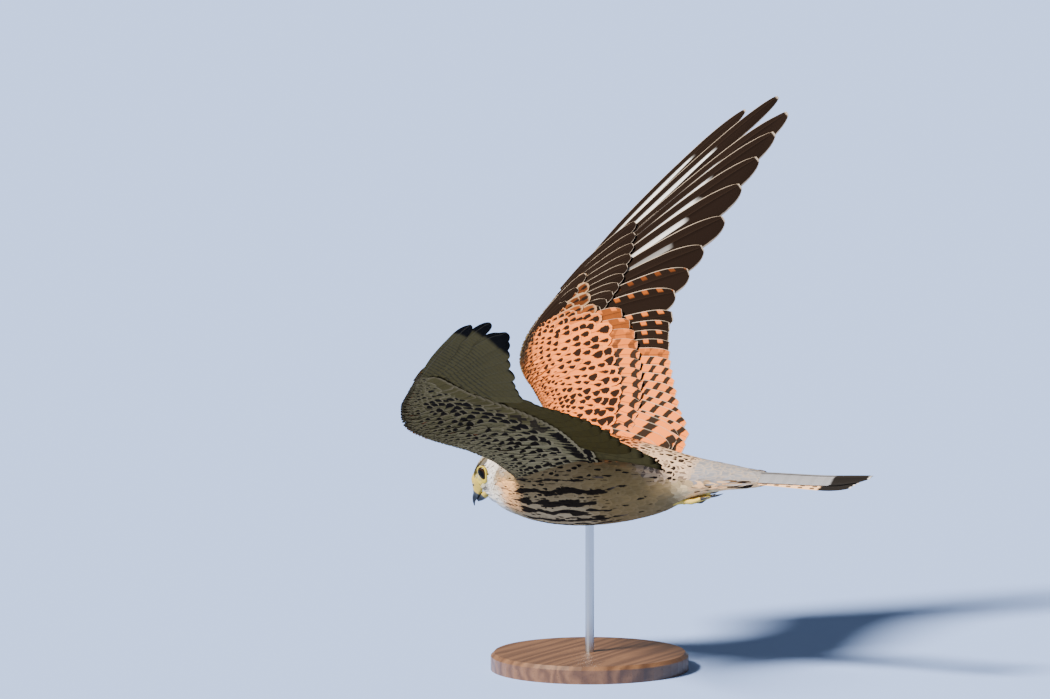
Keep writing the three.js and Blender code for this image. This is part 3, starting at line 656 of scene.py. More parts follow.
@dataclass
class Quills:
    """A batch of flight feathers, tail feathers or large coverts laid on a flat chart.

    Each is a thin closed plate on both sides of a raised shaft, rounded at its tip, with its front web
    carried higher than its rear one.
    """

    root: Array
    tip: Array
    front: Array
    rear: Array
    lift: Array
    tint: Array
    under: Array
    marks: Array
    extra: Array
    lean: float = 0.13
    bow: float = 2.0
    finger: Array | None = None
    rounded: float = 0.8
    tip_width: float = 0.35
    rows: int = 30

    WEB = (-1.0, -0.86, -0.65, -0.42, -0.2, -0.06, 0.0, 0.08, 0.3, 0.58, 0.84, 1.0)
    SHAFT = 0.55
    VANE = 0.2
    ARCH = 0.5
    ROOT_WIDTH = 0.5
    NARROWED = (0.5, 0.72)

    def to_surface(self, chart: Chart, flipped: bool, cells: Array) -> Surface:
        """Builds the feathers as sleeves: a ring of points round the plate at each place along the shaft.

        Args:
            chart: places points given as out, back and lift.
            flipped: whether the chart mirrors, so that the faces have to be turned round.
            cells: low corner, width and height of each feather's cell on the bake map.

        Returns:
            The closed feathers as one surface.
        """
        count, web = len(self.root), np.array(self.WEB)
        t = 1 - (1 - np.linspace(0, 1, self.rows)) ** 1.4
        line = self.tip - self.root
        length = np.linalg.norm(line, axis=1)
        to_front = np.stack([line[:, 1], -line[:, 0]], axis=1) / length[:, None]
        end = np.clip((t - self.rounded) / (1 - self.rounded), 0, 1)
        width = lerp(self.ROOT_WIDTH, 1, smooth(t, 0, 0.35))
        width = width * np.sqrt(1 - end ** 2 * (1 - self.tip_width ** 2))
        finger = np.ones(count) if self.finger is None else self.finger
        narrow = lerp(1, finger[:, None], smooth(t, *self.NARROWED))
        reach = np.where(web > 0, self.front[:, None, None], (self.rear[:, None] * narrow)[..., None])
        shaft_half = self.SHAFT * lerp(1, 0.35, t)[:, None]
        aside = np.where(np.abs(web) < 0.1, np.sign(web) * shaft_half, web * reach * width[:, None])
        across = aside + (self.bow * 4 * t * (1 - t))[:, None]
        shaft = self.root[:, None] + line[:, None] * t[:, None]
        out, back = (shaft[..., i, None] + to_front[:, i, None, None] * across for i in (0, 1))
        base = lerp(self.lift[:, :1], self.lift[:, 1:], t)[..., None] + self.lean * aside
        base = base - self.ARCH * web ** 2 * width[:, None]
        ridge = np.where(web == 0, shaft_half * 1.1, 0)
        thin = self.VANE / 2 * np.where(np.abs(web) == 1, 0.4, 1)
        top = chart(out, back, base + ridge + thin)
        bottom = chart(out, back, base - ridge * 0.8 - thin)
        rings = np.concatenate([top, bottom[:, :, ::-1]], axis=2)

        sides, edge = 2 * len(web), len(web) - 1
        quads, ends = grid_faces(self.rows, sides), end_faces(self.rows, sides)
        if flipped:
            quads, ends = quads[:, ::-1], ends[:, ::-1]
        loops = np.concatenate([quads.ravel(), ends.ravel()])
        starts = face_starts(len(quads), sides)
        strip = np.concatenate([np.tile(np.arange(sides), self.rows - 1), [edge] * 2])
        under = np.repeat(strip >= edge, np.diff(np.append(starts, len(loops))))
        u, v = (np.concatenate([web, web[::-1]])[loops % sides] + 1) / 2, t[loops // sides]
        in_cell = np.stack([0.04 + 0.42 * u + 0.5 * under, 0.03 + 0.94 * v], axis=-1)
        return copied(
            rings.reshape(count, -1, 3), loops, starts, (strip == edge) | (strip == sides - 1),
            {VANE_MAP: np.stack([u + 2 * under, v], axis=-1),
             BAKE_MAP: cells[:, None, :2] + cells[:, None, 2:] * in_cell},
            {"Tint": self.tint, "Under": self.under, "Marks": self.marks, "Extra": self.extra},
        )

    @classmethod
    def row(cls, draw: np.random.Generator, root: tuple[Pair, Pair], tip: Array, front: Pair, rear: Pair,
            tone: Array | Colour, under: Sequence[float], marks: Sequence[Array | float],
            extra: Sequence[Array | float], vary: Pair = (0.08, 0),
            lift: tuple[Pair, Pair] = ((0, 0), (0, 0)), **shape: Any) -> Quills:
        """Makes a row of feathers whose sizes change evenly from the first to the last.

        Args:
            draw: the random numbers, drawn for each feather's chance, shade, under shade and second chance.
            root: places of the first and the last root.
            tip: places of all the tips.
            front: width of the first and of the last front web.
            rear: width of the first and of the last rear web.
            tone: the upper side's colour, the same for all or a row for each.
            under: the under side's colour and how its bars are counted.
            marks: columns of the marks.
            extra: columns of the other numbers, with a chance for each feather where there are three.
            vary: how much the shade of the two sides varies.
            lift: height of the first and of the last feather, each at its root and tip.
            shape: any other sizes.

        Returns:
            The row of feathers.
        """
        count = len(tip)
        tint = np.column_stack([np.broadcast_to(tone, (count, 3)), draw.uniform(0, 1, count)])
        tint, below = varied(tint, draw, vary[0]), stacked(count, *under)
        if vary[1]:
            below = varied(below, draw, vary[1])
        if len(extra) < 4:
            extra = (*extra, draw.uniform(0, 1, count))
        return cls(
            root=quill_rows(*root, count), tip=tip, front=quill_rows(*front, count)[:, 0],
            rear=quill_rows(*rear, count)[:, 0], lift=quill_rows(*lift, count), tint=tint, under=below,
            marks=stacked(count, *marks), extra=stacked(count, *extra), **shape,
        )


def cell_rows(first: int, count: int, total: int) -> Array:
    """Shares out a square map among feathers, side by side in rows of ten.

    Args:
        first: the number of the first feather.
        count: how many feathers follow.
        total: how many feathers the whole map holds.

    Returns:
        Low corner, width and height of each cell.
    """
    per_row = 10
    width, height = 1 / per_row, 1 / math.ceil(total / per_row)
    index = np.arange(first, first + count)
    return stacked(count, index % per_row * width, index // per_row * height, width, height)


def ends_on(line: Curve, out: Array) -> Array:
    """Gives feather ends on a line across the flat wing."""
    return np.stack([out, line(out)], axis=1)


def varied(rows: Array, draw: np.random.Generator, amount: float) -> Array:
    """Makes each feather's colour a little lighter or darker than the next one's."""
    shade = 1 + amount * draw.uniform(-1, 1, (len(rows), 1))
    return np.column_stack([rows[:, :3] * shade, rows[:, 3]])


def quill_rows(low: Sequence[float], high: Sequence[float], count: int) -> Array:
    """Shares values out evenly from the first feather of a row to the last."""
    t = np.linspace(0, 1, count)[:, None]
    return lerp(np.atleast_1d(np.asarray(low, float)), np.atleast_1d(np.asarray(high, float)), t)


class Tone:
    """The plumage's colours, as linear red, green and blue, some of them darkened by painted shade."""

    CHESTNUT = (0.76, 0.185, 0.028)
    DEEP_CHESTNUT = (0.38, 0.115, 0.036)
    BROWN = (0.013, 0.0078, 0.0055)
    DUSK = (0.003, 0.0016, 0.0008)
    # Painted shade: the underwing's pale, barred feathers are given the dark olive they show in shade.
    UNDERWING = (0.088, 0.063, 0.021)
    UNDERWING_INNER = (0.064, 0.043, 0.012)
    UNDERWING_PALE = (0.215, 0.165, 0.075)
    BUFF = (0.40, 0.29, 0.155)
    FLANK = (0.27, 0.175, 0.075)
    BELLY = (0.225, 0.140, 0.052)
    VENT = (0.20, 0.155, 0.085)
    CREAM = (0.72, 0.52, 0.27)
    # Partly the belly's own olive, partly painted shade on the down-facing underside.
    OLIVE = (0.155, 0.108, 0.050)
    RUMP = (0.57, 0.38, 0.24)
    TAIL = (0.225, 0.22, 0.23)
    TAIL_UNDER = (0.56, 0.54, 0.48)
    CROWN = (0.30, 0.25, 0.20)
    CHEEK = (0.98, 0.90, 0.75)
    THROAT = (0.74, 0.70, 0.60)
    ORANGE = (0.95, 0.46, 0.17)
    EAR = (0.72, 0.63, 0.52)
    LORE = (0.50, 0.37, 0.035)
    # Painted shade for the brow over each eye and the forehead.
    LORE_DARK = (0.035, 0.030, 0.012)


@dataclass
class BodyCoat:
    """The small feathers of the body and head, in rings from the bill to the tail."""

    trunk: Trunk
    seed: int = 7
    body_span: tuple[float, float] = (45.8, -150.0)
    cap_insets: tuple[float, ...] = (1.2, 2.6, 4.0)
    head_span: tuple[float, float] = (20.6, -20.0)
    length: Curve = field(default_factory=lambda: Curve([
        (-150, 17), (-118, 17), (-80, 18), (-40, 17), (0, 14), (25, 10), (45, 7),
    ]))
    head_length: Curve = field(default_factory=lambda: Curve([
        (-21, 9), (-10, 8), (0, 7), (10, 5.8), (16, 4.6), (21, 3.8),
    ]))
    slim: float = 0.165
    head_slim: float = 0.15
    row_step: float = 0.19
    root_depth: float = 0.75
    streak_lines: float = 8.5
    streak_length: float = 12.0
    head_depth: float = 0.6
    chin: tuple[float, float] = (-19.8, -7.0)

    def _rings(self, table: Array, span: Pair, length: Curve, slim: float) -> tuple[Array, Array]:
        """Spreads feather roots in staggered rings on one outline.

        Args:
            table: the outline's stations.
            span: the first and last place forward.
            length: feather length at each place forward.
            slim: half a feather's width as a share of its length.

        Returns:
            The roots and their lengths.
        """
        roots, lengths = [], []
        place, number = span[0], 0
        dense = np.linspace(0, 2 * np.pi, 241)
        while place > span[1]:
            size = float(length(place))
            way = walked(self.trunk.ring(table, place, dense))
            count = max(int(way[-1] / (size * slim * 1.8)), 5)
            at = (np.arange(count) + 0.5 * (number % 2)) / count * way[-1]
            roots.append(self.trunk.ring(table, place, np.interp(at, way, dense)))
            lengths.append(np.full(count, size))
            place -= size * self.row_step
            number += 1
        for inset in self.cap_insets if table is self.trunk.head else ():
            roots.append(self.trunk.ring(table, span[0], dense[::9], -inset))
            lengths.append(np.full(len(roots[-1]), float(length(span[0]))))
        return np.concatenate(roots), np.concatenate(lengths)

    def seeds(self) -> tuple[Array, Array, Array]:
        """Gives the roots of all the feathers, without those buried or on the chin.

        Returns:
            Places in the bird's frame, lengths, and true for each root on the head.
        """
        body, body_length = self._rings(self.trunk.body, self.body_span, self.length, self.slim)
        head, head_length = self._rings(self.trunk.head, self.head_span, self.head_length, self.head_slim)
        chin = (head[:, 1] < self.chin[0]) & (head[:, 2] < self.chin[1])
        head, head_length = self.trunk.from_head(head[~chin]), head_length[~chin]
        roots, lengths = np.concatenate([body, head]), np.concatenate([body_length, head_length])
        on_head = np.arange(len(roots)) >= len(body)
        from_body, from_head = self.trunk.distances(roots)
        free = np.where(on_head, from_body, from_head) > 0
        return roots[free], lengths[free], on_head[free]

    def body_colours(self, points: Array, normals: Array, draw: np.random.Generator) -> tuple[Array, Array]:
        """Gives the body's colour and marks by place: chestnut back, grey rump, buff and streaked below,
        with darker olive beneath that is partly painted shade.

        Args:
            points: places in the bird's frame.
            normals: the way out at each.
            draw: the random numbers.

        Returns:
            Colours, and rows of spot, bars, streak and fringe.
        """
        count = len(points)
        forward, rear, up = -points[:, 1], points[:, 1], normals[:, 2]
        rise, _, above, below = self.trunk.section(self.trunk.body, forward)
        beside, level = np.abs(points[:, 0]), points[:, 2]
        height = (level - rise) / np.where(level > rise, above, below)
        back = smooth(up, 0.62, 0.85)
        rump = smooth(rear + up * 20, 84, 104) * smooth(up, 0, 0.4)
        behind = smooth(rear, 112, 124)
        row = behind * smooth(height, -0.7, -0.55) * (1 - smooth(height, 0, 0.1))
        square = row * (np.cos(2 * np.pi * forward / 10) > 0.3) * (height > -0.45)
        patch = smooth(forward, 2, 13) * (1 - smooth(forward, 18, 32)) * smooth(beside, 11, 19)
        patch = patch * smooth(level, -20, -12) * (1 - smooth(level, 4, 10))
        tint = painted(
            Tone.BUFF,
            (Tone.FLANK, 1 - smooth(-up, -0.1, 0.5)),
            (Tone.BELLY, smooth(rear, 30, 60)),
            (Tone.VENT, smooth(rear, 78, 125)),
            (Tone.CHESTNUT, back * smooth(rear, -24, -8)),
            (Tone.RUMP, rump),
            # Down-facing belly and vent darker olive: partly their own tone, partly painted shade.
            (Tone.OLIVE, smooth(rear, 20, 100) * smooth(-up, 0.1, 0.8) * 0.65),
            (Tone.CREAM, smooth(rear, 100, 114) * smooth(-height, -0.15, 0.1)),
            (Tone.TAIL, behind * smooth(height, 0, 0.25)),
            (TailFinish.rufous, row * 0.8),
            (Tone.BROWN, square),
            (Tone.CROWN, smooth(forward, 14, 22) * smooth(up, 0.2, 0.5)),
            (Tone.CHEEK, smooth(forward, 18, 30) * smooth(-up, -0.3, 0.2) * 0.8),
            (Tone.ORANGE, patch * 0.85),
        )
        chance = draw.uniform(0, 1, count)
        side = 1 - back
        flank = smooth(up, -0.35, 0) * side * smooth(rear, -18, 0) * (1 - smooth(rear, 48, 66))
        breast = smooth(rear, -34, -20) * (1 - smooth(rear, 40, 72)) * side
        belly = smooth(rear, 40, 60) * (1 - smooth(rear, 90, 104)) * side
        streak = np.maximum(breast * 0.3 * (chance < 0.3), belly * 0.24 * (chance < 0.14))
        streak = streak * (1 - flank * 0.6)
        fringe = 0.12 + 0.35 * back + 0.3 * rump
        spot = np.maximum(flank * 0.4 * (chance > 0.7), back * smooth(rear, -20, -6) * 0.7) * (1 - rump)
        rump = rump * (1 - behind)
        spot = np.maximum(spot, rump * 0.5 * (chance > 0.35)) * (1 - behind)
        return tint, stacked(count, spot, rump * 0.26 * (chance < 0.25), streak, fringe)

    def head_colours(self, points: Array, draw: np.random.Generator) -> tuple[Array, Array]:
        """Gives the head's colour and marks by place: streaked crown, pale cheek, dark line below the eye,
        and painted shade on the brow and forehead.

        Args:
            points: places in the bird's frame.
            draw: the random numbers.

        Returns:
            Colours, and rows of spot, bars, streak and fringe.
        """
        local = self.trunk.to_head(points)
        forward, up, beside = -local[:, 1], local[:, 2], np.abs(local[:, 0])
        stripe = np.exp(-((up - 10.2) / 1) ** 2) * smooth(forward, -8, -2) * smooth(beside, 4, 7)
        brow = np.exp(-((up - 7.4) / 1.8) ** 2) * smooth(forward, -3, 2) * smooth(beside, 3, 6)
        lore = np.exp(-((forward - 14.2) / 3.2) ** 2 - ((up + 0.6) / 4.2) ** 2) * smooth(beside, 2, 4)
        moustache = np.exp(-((forward - 15.2) / 2) ** 2) * smooth(-up, 4.5, 7) * smooth(beside, 4.5, 6.5)
        moustache = moustache * (1 - smooth(-up, 15, 19))
        tint = painted(
            Tone.CHEEK,
            (Tone.EAR, smooth(up, -6, 0) * (1 - smooth(forward, 4, 9)) * 0.75),
            (Tone.CROWN, smooth(up, 5.5, 9.5)),
            (Tone.THROAT, smooth(-up, 8, 12)),
            (Tone.THROAT, stripe * 0.8),
            # Painted shade on the brow over each eye.
            (Tone.LORE_DARK, np.clip(brow * 1.4, 0, 1) * 0.96),
            # Painted shade on the forehead ahead of the eye.
            (Tone.LORE_DARK, smooth(forward, 8, 12) * smooth(up, 2.5, 4.5) * 0.95),
            (Tone.LORE, np.clip(lore * 1.5, 0, 1) * 0.95),
            (Tone.DUSK, np.clip(moustache * 1.1, 0, 1) * 0.85),
            (Tone.BUFF, smooth(-forward, 8, 15) * smooth(up, -8, 0) * 0.5),
        )
        chance = draw.uniform(0, 1, len(points))
        streak = 0.26 * smooth(up, 4, 8) * (1 - smooth(forward, 13, 17)) * (chance < 0.5)
        return tint, stacked(len(points), 0, 0, streak, 0.1)

    def body_grain(self, points: Array) -> Array:
        """Gives places round and along the body, in streak widths and lengths, and the streaks' strength."""
        across, back = points[:, 0], points[:, 1]
        around = np.arctan2(np.abs(across), -points[:, 2])
        patch = smooth(back, -40, -30) * (1 - smooth(back, -14, -6))
        strength = (1 - smooth(np.degrees(around), 98, 118)) * smooth(back, -36, -22)
        strength = strength * (1 - smooth(back, 42, 82)) * (1 - 0.55 * patch)
        around = around * self.streak_lines * np.sign(across + 1e-9)
        strength = np.maximum(strength, 0.35 * smooth(-back, 24, 34))
        return stacked(len(points), around, back / self.streak_length, strength, 1)

    def head_grain(self, points: Array) -> Array:
        """Gives places round and along the head, in finer streaks, and how strong they are."""
        x, y, z = self.trunk.to_head(points).T
        ear = smooth(y, -4, 4) * smooth(z, -7, 0)
        strength = np.maximum(0.3 * smooth(z, 3, 7), 0.22 + 0.2 * ear) * (1 - smooth(-y, 12, 15))
        return stacked(len(points), np.arctan2(x, z) * 13, y / 5, strength, 1)

    def _grow(self, roots: Array, lengths: Array, depth: Array, lift: Array) -> tuple[Array, Array]:
        """Lets each shaft run along the outline from its sunken root to its raised tip.

        Args:
            roots: places of the roots on the outline.
            lengths: feather lengths.
            depth: how deep the roots lie.
            lift: how high the tips lie.

        Returns:
            Points along each shaft and the way out at each.
        """
        point, shaft, ups, before = roots, [], [], 0
        for t in Plumes.STATIONS:
            if t:
                way = self.trunk.lie(point, self.trunk.normal(point))
                point = point + way * (lengths * (t - before))[:, None]
            point = self.trunk.settle(point, lerp(-depth, lift, t ** 0.8), 2 if t else 4)
            shaft.append(point)
            ups.append(self.trunk.normal(point))
            before = t
        return np.stack(shaft, axis=1), np.stack(ups, axis=1)

    def to_plumes(self, keep_clear: Sequence[Callable[[Array], Array]]) -> tuple[Plumes, Plumes]:
        """Makes the feathers of the body and of the head.

        Args:
            keep_clear: tests that say which roots are taken by something else.

        Returns:
            The body's feathers and the head's.
        """
        draw = np.random.default_rng(self.seed)
        roots, lengths, on_head = self.seeds()
        roots = roots + draw.normal(0, 0.05, roots.shape) * lengths[:, None]
        lengths = lengths * draw.uniform(0.88, 1.12, len(lengths))
        free = ~np.any([test(roots) for test in keep_clear], axis=0)
        roots, lengths, on_head = roots[free], lengths[free], on_head[free]
        depth = np.where(on_head, self.head_depth, self.root_depth)
        lift = np.where(on_head, 0.05, 0.08) + draw.uniform(0, 0.08, len(roots))
        shaft, ups = self._grow(roots, lengths, depth, lift)
        ends = shaft[:, 3]
        head_share = smooth(np.subtract(*self.trunk.distances(ends)), -1, 3)[:, None]
        body_tint, body_marks = self.body_colours(ends, ups[:, 3], draw)
        head_tint, head_marks = self.head_colours(ends, draw)
        tint = lerp(body_tint, head_tint, head_share) * draw.uniform(0.9, 1.1, (len(roots), 1))
        local = np.where(on_head[:, None], self.trunk.to_head(roots), roots)
        around = np.arctan2(local[:, 2], local[:, 0]) / (2 * np.pi) + 0.5
        ahead = (local[:, 1] + np.where(on_head, 30, 60)) / np.where(on_head, 60, 260)
        whole = Plumes(
            shaft=shaft, up=ups, half=lengths * np.where(on_head, self.head_slim, self.slim),
            tint=np.column_stack([tint, draw.uniform(0, 1, len(tint))]),
            marks=lerp(body_marks, head_marks, head_share), place=np.stack([around, ahead], axis=1),
        )
        return whole.chosen(~on_head), whole.chosen(on_head)


@dataclass
class Wing:
    """One wing: its flesh, its flight feathers and the rows of coverts over them."""

    pose: WingPose
    seed: int
    wrist: tuple[float, float] = (90.6, -54.9)
    primary_reach: tuple[float, ...] = (118, 131, 146, 168, 190, 211, 231, 247, 250, 228)
    primary_fan: tuple[float, ...] = (66.2, 60.6, 56, 52.1, 48.1, 45.9, 44.3, 43.2, 40.2, 37.3)
    secondaries: int = 11
    tertials: int = 3
    scapulars: int = 5
    greater: int = 13
    primary_coverts: int = 10
    alula_reach: tuple[float, ...] = (48, 60, 71)
    alula_fan: tuple[float, ...] = (39, 37, 34)
    bar_step: float = 12.0
    total_cells: int = 60

    GREATER_LINE = Curve([(20, 56), (50, 54), (78, 46), (101, 35), (116, 24), (125, 14)])
    MEDIAN_LINE = Curve([
        (-12, 44), (20, 42), (50, 39), (78, 30), (101, 18), (116, 6), (130, -6), (156, -14),
    ])
    # Share of the way from the leading edge to the median line, and feather length, of each row.
    COVERT_ROWS = (
        (0.04, 6), (0.07, 6.5), (0.11, 7.5), (0.16, 9), (0.22, 10), (0.29, 11), (0.37, 12.5), (0.46, 14),
        (0.56, 16), (0.66, 18), (0.77, 20), (0.88, 22), (0.98, 24),
    )
    LIE = Curve([(-10, -0.15), (30, -0.28), (60, -0.1), (90, 0.15), (120, 0.42), (150, 0.85), (200, 1.0)])

    def __post_init__(self) -> None:
        """Bends the chart into this wing's pose and starts its own random draw."""
        self.chart = WingChart(self.pose)
        self.draw = np.random.default_rng(self.seed)

    @property
    def name(self) -> str:
        """The side's name."""
        return self.pose.side.name.lower()

    def _fan(self, reach: Sequence[float], degrees: Sequence[float]) -> Array:
        """Gives tips that fan from the wrist."""
        angle = np.radians(degrees)
        ways = np.stack([np.cos(angle), np.sin(angle)], axis=1)
        return np.array(self.wrist) + ways * np.array(reach)[:, None]

    def flight(self) -> Surface:
        """Builds the primaries, secondaries and tertials, with the primary coverts and the alula."""
        # The under sides of these feathers take the underwing tones, which carry painted shade.
        count = len(self.primary_reach)
        order = np.linspace(0, 1, count)
        primaries = Quills.row(
            self.draw, root=((97, -38), (143, -28)), tip=self._fan(self.primary_reach, self.primary_fan),
            front=(6.5, 3.6), rear=(16, 9.5), tone=Tone.BROWN, under=(*Tone.UNDERWING, 0), vary=(0.08, 0.05),
            marks=(np.array(self.primary_reach) / self.bar_step / 20, 0, 0.95, smooth(order, 0.25, 0.5)),
            extra=(0.9, lerp(0.97, 0.80, smooth(order, 0.5, 0.8)), 0.35 * (1 - smooth(order, 0, 0.2))),
            bow=5, finger=np.where(np.arange(count) >= count - 2, 0.66, 1), rows=40, rounded=0.78,
            tip_width=0.16,
        )
        out = np.linspace(121, 31, self.secondaries)
        warm = smooth(np.linspace(0, 1, self.secondaries), 0.36, 0.44)
        secondaries = Quills.row(
            self.draw, root=((89, -34), (58, -8)), tip=ends_on(WingChart.TRAILING_EDGE, out),
            front=(6.5, 6.5), rear=(12.5, 12.5), tone=painted(Tone.BROWN, (Tone.CHESTNUT, warm)),
            under=(*Tone.UNDERWING_INNER, 1), marks=(0.43, warm, 0.95, 0), extra=(1, 0.99, 0.8 * (1 - warm)),
            vary=(0.08, 0.05),
        )
        tertials = Quills.row(
            self.draw, root=((52, -4), (34, -2)), front=(8, 8), rear=(11, 11), vary=(0.06, 0.05),
            tip=ends_on(WingChart.TRAILING_EDGE, np.linspace(22, 3, self.tertials)),
            lift=((0.4, 0.4), (1.2, 1.2)), tone=Tone.CHESTNUT, under=(*Tone.UNDERWING, 1),
            marks=(0.43, 1, 0.9, 0), extra=(0.9, 0.97, 0),
        )
        return self._laid([primaries, secondaries, tertials, *self._hand_coverts()])

    def _laid(self, rows: Sequence[Quills]) -> Surface:
        """Lays rows of feathers on this wing, each feather with its own cell of the bake map."""
        first, made = 0, []
        for row in rows:
            cells = cell_rows(first, len(row.root), self.total_cells)
            made.append(row.to_surface(self.chart, self.pose.side is Side.RIGHT, cells))
            first += len(row.root)
        return merge(made)

    def _hand_coverts(self) -> list[Quills]:
        """Gives the primary coverts and the alula, dark brown with thin pale edges."""
        count = self.primary_coverts
        over_primaries = self._fan(np.linspace(66, 120, count), np.linspace(61, 35.5, count))
        alula = self._fan(self.alula_reach, self.alula_fan)
        return [
            Quills.row(
                self.draw, root=root, tip=tip, front=front, rear=rear, lift=(lift, lift), tone=Tone.BROWN,
                under=(*Tone.UNDERWING, 0), marks=(0.3, 0, 0.5, 0), extra=(0.9, 0.95, 0, 0.5),
                vary=(0.12, 0), lean=lean, tip_width=0.22,
            )
            for root, tip, front, rear, lift, lean in (
                (((99, -42), (139, -33)), over_primaries, (4.5, 3), (7.5, 5.5), (1.2, 2.5), 0.1),
                (((98, -48), (104, -49)), alula, (3, 3), (6, 5), (2.4, 3.6), 0.08),
            )
        ]

    def large_coverts(self) -> Surface:
        """Builds the greater coverts and the scapulars, on the upper side."""
        outer = 1 - smooth(np.linspace(0, 1, self.greater), 0.05, 0.35)
        greater = Quills.row(
            self.draw, root=((99, -34), (36, -6)), front=(5.8, 5.8), rear=(9.5, 9.5),
            tip=ends_on(self.GREATER_LINE, np.linspace(120, 10, self.greater)), lift=((1.4, 2.6),) * 2,
            tone=painted(Tone.CHESTNUT, (Tone.BROWN, 0.75 * outer)), under=(*Tone.UNDERWING, 1),
            marks=(0.27, 1 - 0.9 * outer, 0.9, 0), extra=(0.6, 0.99, 0.8 * outer), lean=0.08, bow=1.5,
        )
        scapulars = Quills.row(
            self.draw, root=((38, 0), (10, -2)),
            tip=ends_on(WingChart.TRAILING_EDGE, np.linspace(10, -10, self.scapulars)) - [0, 8],
            front=(9, 9), rear=(9, 9), lift=((1, 1.4), (2.4, 2.8)), lean=0.1, bow=3,
            tone=Tone.CHESTNUT, under=(*Tone.BUFF, 1), marks=(0.21, 1, 0.9, 0), extra=(0.6, 0.99, 0),
        )
        return self._laid([greater, scapulars])

    def coverts(self, face: Face) -> Plumes:
        """Lays rows of small coverts from the leading edge to the median line, on one face.

        Args:
            face: the side of the wing.

        Returns:
            The feathers.
        """
        rows = []
        for number, (share, length) in enumerate(self.COVERT_ROWS):
            spacing = length * 0.38
            out = -14 + (np.arange(int(172 / spacing)) + 0.5 * (number % 2)) * spacing
            out = out[out < 160]
            front = WingChart.LEADING_EDGE(out) + 1.2
            rear = self.MEDIAN_LINE(out) - (6 if face is Face.UNDER else 0)
            rows.append(stacked(len(out), out, lerp(front, rear, share),
                                length * (1 - 0.35 * smooth(out, 100, 160)), share))
        row = np.concatenate(rows)
        size = row[:, 2]
        tip = row[:, :2] + self.draw.normal(0, 0.05, (len(row), 2)) * size[:, None]
        size = size * self.draw.uniform(0.9, 1.1, len(size))
        return self._lay(tip, size, face, row[:, 3])

    def _lay(self, tip: Array, size: Array, face: Face, level: Array) -> Plumes:
        """Lays small feathers over the wing: sunken at the root, and just over the next row at the tip.

        Args:
            tip: where each ends on the flat wing.
            size: feather lengths.
            face: the side of the wing.
            level: share of the way from the leading edge to the last row.

        Returns:
            The feathers.
        """
        draw, steps, count = self.draw, Plumes.STATIONS, len(tip)
        cover, tip_rise = (2.9, 0.3) if face is Face.UPPER else (2, 0.2)
        way = unit(stacked(count, self.LIE(tip[:, 0]), 1))
        size = np.minimum(size, (tip[:, 1] - WingChart.LEADING_EDGE(tip[:, 0])) / way[:, 1])
        out, back = np.moveaxis(tip[:, None] - way[:, None] * (size[:, None] * (1 - steps))[..., None], 2, 0)
        front = WingChart.LEADING_EDGE(out)
        half = np.maximum(size * 0.25, 1.3)
        back = np.maximum(back, front + (half * np.abs(way[:, 0]))[:, None])
        floor = np.maximum(self.chart.flesh(out, back) * 0.92, lerp(0.3, cover, smooth(back - front, 1, 24)))
        rise = lerp(-0.7, tip_rise, steps ** 0.8) + draw.uniform(0, 0.2, (count, 1))
        tint, marks = self._covert_colours(tip, level, face)
        place = [(tip[:, 0] + 20) / 190, (tip[:, 1] + 70) / 140 * 0.48 + 0.5 * (face.value > 0)]
        return Plumes(
            shaft=self.chart(out, back, face.value * (floor + rise)),
            up=self.chart.up(out, back) * face.value, half=half,
            tint=np.column_stack([tint, draw.uniform(0, 1, count)]), marks=marks,
            place=np.stack(place, axis=1),
        )

    def _covert_colours(self, tip: Array, level: Array, face: Face) -> tuple[Array, Array]:
        """Gives colour and marks: chestnut with spots above, and beneath pale with spots, darkened by
        painted shade.

        Args:
            tip: where each feather ends on the flat wing.
            level: share of the way from the leading edge to the last row.
            face: the side of the wing.

        Returns:
            Colours, and rows of spot, bars, streak and fringe.
        """
        draw, count, out = self.draw, len(tip), tip[:, 0]
        hand = smooth(out, 104, 128)
        if face is Face.UPPER:
            tint = painted(
                Tone.CHESTNUT,
                (Tone.BROWN, hand * smooth(level, 0.15, 0.4) * 0.9),
                (Tone.DEEP_CHESTNUT, (1 - smooth(level, 0, 0.35)) * 0.5),
                (Tone.BROWN, (1 - smooth(level, 0.10, 0.22)) * smooth(out, 66, 92)),
            )
            spot = np.where(draw.uniform(0, 1, count) < 0.85, 0.7, 0.4) * (1 - hand * 0.6)
            spot = spot * lerp(1.1, 0.9, smooth(level, 0, 0.6)) * draw.uniform(0.8, 1.15, count)
            streak, fringe = 0, lerp(0.22, 0.9, hand)
        else:
            # Beneath, the underwing tones carry painted shade.
            tint = painted(
                Tone.UNDERWING_PALE,
                (Tone.UNDERWING, smooth(out, 20, 90) * 0.75),
                (Tone.DUSK, (1 - smooth(level, 0.02, 0.09)) * 0.7),
            )
            chance = draw.uniform(0, 1, count)
            spot = np.where(chance < 0.85, lerp(0.4, 0.92, smooth(level, 0.16, 0.45)), 0.1)
            spot = spot * lerp(0.9, 1.25, 1 - smooth(out, 12, 44)) * (1 - hand * 0.8)
            streak, fringe = 0.3 * hand * (chance < 0.4), 0.3
        return tint * draw.uniform(0.92, 1.08, (count, 1)), stacked(count, spot, 0, streak, fringe)

